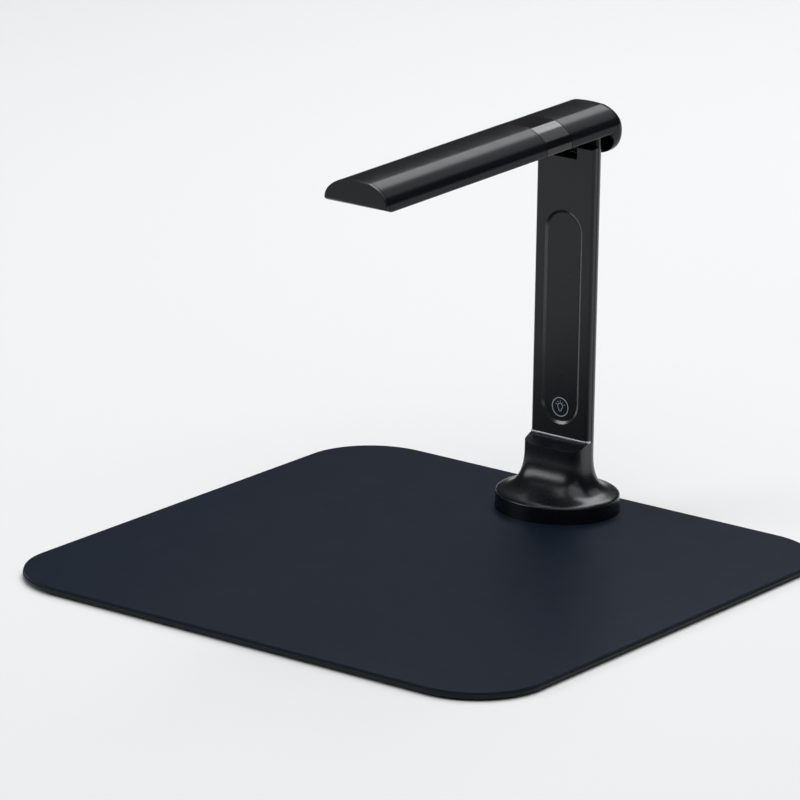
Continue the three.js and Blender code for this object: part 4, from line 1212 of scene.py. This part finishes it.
for node in ("shell_screw_lower", "shell_screw_upper"):
    low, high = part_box(node)
    middle = node_middle(node)
    place = Matrix.Translation((middle.x, high.y, middle.z)) @ Matrix.Rotation(pi / 2, 4, "X")
    fit_screw(node, "base", place, shell_screw_radius, shell_screw_head_height, shell_screw_shank,
              high.y - low.y)


# The inner pieces keep their own solids and get finished materials

inner_finishes = {
    satin: ("foot_bottom_plate",),
    steel: ("ballast_plate", "column_spine", "hinge_pin", "disc_spring_left", "disc_spring_right"),
    circuit: ("main_circuit_board", "touch_circuit_board", "sensor_circuit_board", "lamp_circuit_board"),
    gloss: ("main_chip", "camera_housing"),
    rubber: ("column_cable", "arm_cable"),
    plated: ("hinge_nut",),
    brass: ("friction_washer_left", "friction_washer_right"),
}
for material, nodes in inner_finishes.items():
    for node in nodes:
        solid = frame["nodes"][node]
        for material_slot in solid.material_slots:
            material_slot.link = "OBJECT"
            material_slot.material = material


# Camera at the photograph's angle

camera_azimuth = 36.91
camera_elevation = 16.54
camera_roll = radians(0.9)
camera_distance = 3.583
aim_right = 0.09764
aim_up = -0.06611
focal_pixels = 5766
photo_pixels = 800
sensor_width = 36
far_clip = 100


def direction(azimuth_degrees, elevation_degrees):
    """The way to a camera or a lamp. Azimuth 0 is in front of the object, and 90 is on its right."""
    angle = radians(azimuth_degrees)
    tilt = radians(elevation_degrees)
    return Vector((sin(angle) * cos(tilt), -cos(angle) * cos(tilt), sin(tilt)))


back = direction(camera_azimuth, camera_elevation)
level_right = direction(camera_azimuth + 90, 0)
level_up = back.cross(level_right)
right = cos(camera_roll) * level_right + sin(camera_roll) * level_up
up = -sin(camera_roll) * level_right + cos(camera_roll) * level_up
eye = device_place.translation + camera_distance * back - aim_right * right - aim_up * up

camera_data = bpy.data.cameras.new("camera")
camera_data.sensor_width = sensor_width
camera_data.lens = focal_pixels * sensor_width / photo_pixels
camera_data.clip_end = far_clip
camera = bpy.data.objects.new("camera", camera_data)
camera.matrix_world = Matrix.Translation(eye) @ Matrix((right, up, back)).transposed().to_4x4()
bpy.context.scene.collection.objects.link(camera)
bpy.context.scene.camera = camera


# Floor, world and lights

floor_half = 30
floor_color = (0.88, 0.88, 0.88)
floor_roughness = 0.75
floor_specular = 0.2
world_color = (1, 1, 1)
world_strength = 0.06
light_target = Vector((0, 0, 0.1))
cool_white = (0.96, 0.98, 1)


floor_corners = [(x * floor_half, y * floor_half, 0) for x, y in ((-1, -1), (1, -1), (1, 1), (-1, 1))]
floor = mesh_object("floor", floor_corners, ((0, 1, 2, 3),))
floor.data.materials.append(shader("pale_floor", {
    "Base Color": (*floor_color, 1), "Roughness": floor_roughness, "Specular IOR Level": floor_specular})[0])

world = bpy.data.worlds.new("world")
bpy.context.scene.world = world
world.use_nodes = True
lighting = next(node for node in world.node_tree.nodes if node.type == "BACKGROUND")
fill(lighting, {"Color": (*world_color, 1), "Strength": world_strength})


def softbox(name, azimuth_degrees, elevation_degrees, distance, width, height, power, color=(1, 1, 1)):
    """A rectangular lamp that faces the object."""
    way = direction(azimuth_degrees, elevation_degrees)
    data = bpy.data.lights.new(name, "AREA")
    data.shape = "RECTANGLE"
    data.size = width
    data.size_y = height
    data.energy = power
    data.color = color
    lamp = bpy.data.objects.new(name, data)
    lamp.location = light_target + way * distance
    lamp.rotation_euler = way.to_track_quat("Z", "Y").to_euler()
    bpy.context.scene.collection.objects.link(lamp)


softbox("band_light", 202, 52, 3.0, 1.5, 2.2, 42, cool_white)
softbox("back_light", 172, 37, 3.0, 1.7, 0.75, 4.5, cool_white)
softbox("top_light", 60, 78, 3.2, 4.4, 4.4, 86)
softbox("left_light", 313, 26, 3.4, 1.9, 0.9, 26, cool_white)
softbox("front_light", 60, 40, 3.2, 2.0, 2.0, 6)


bpy.context.scene.view_settings.view_transform = "Standard"
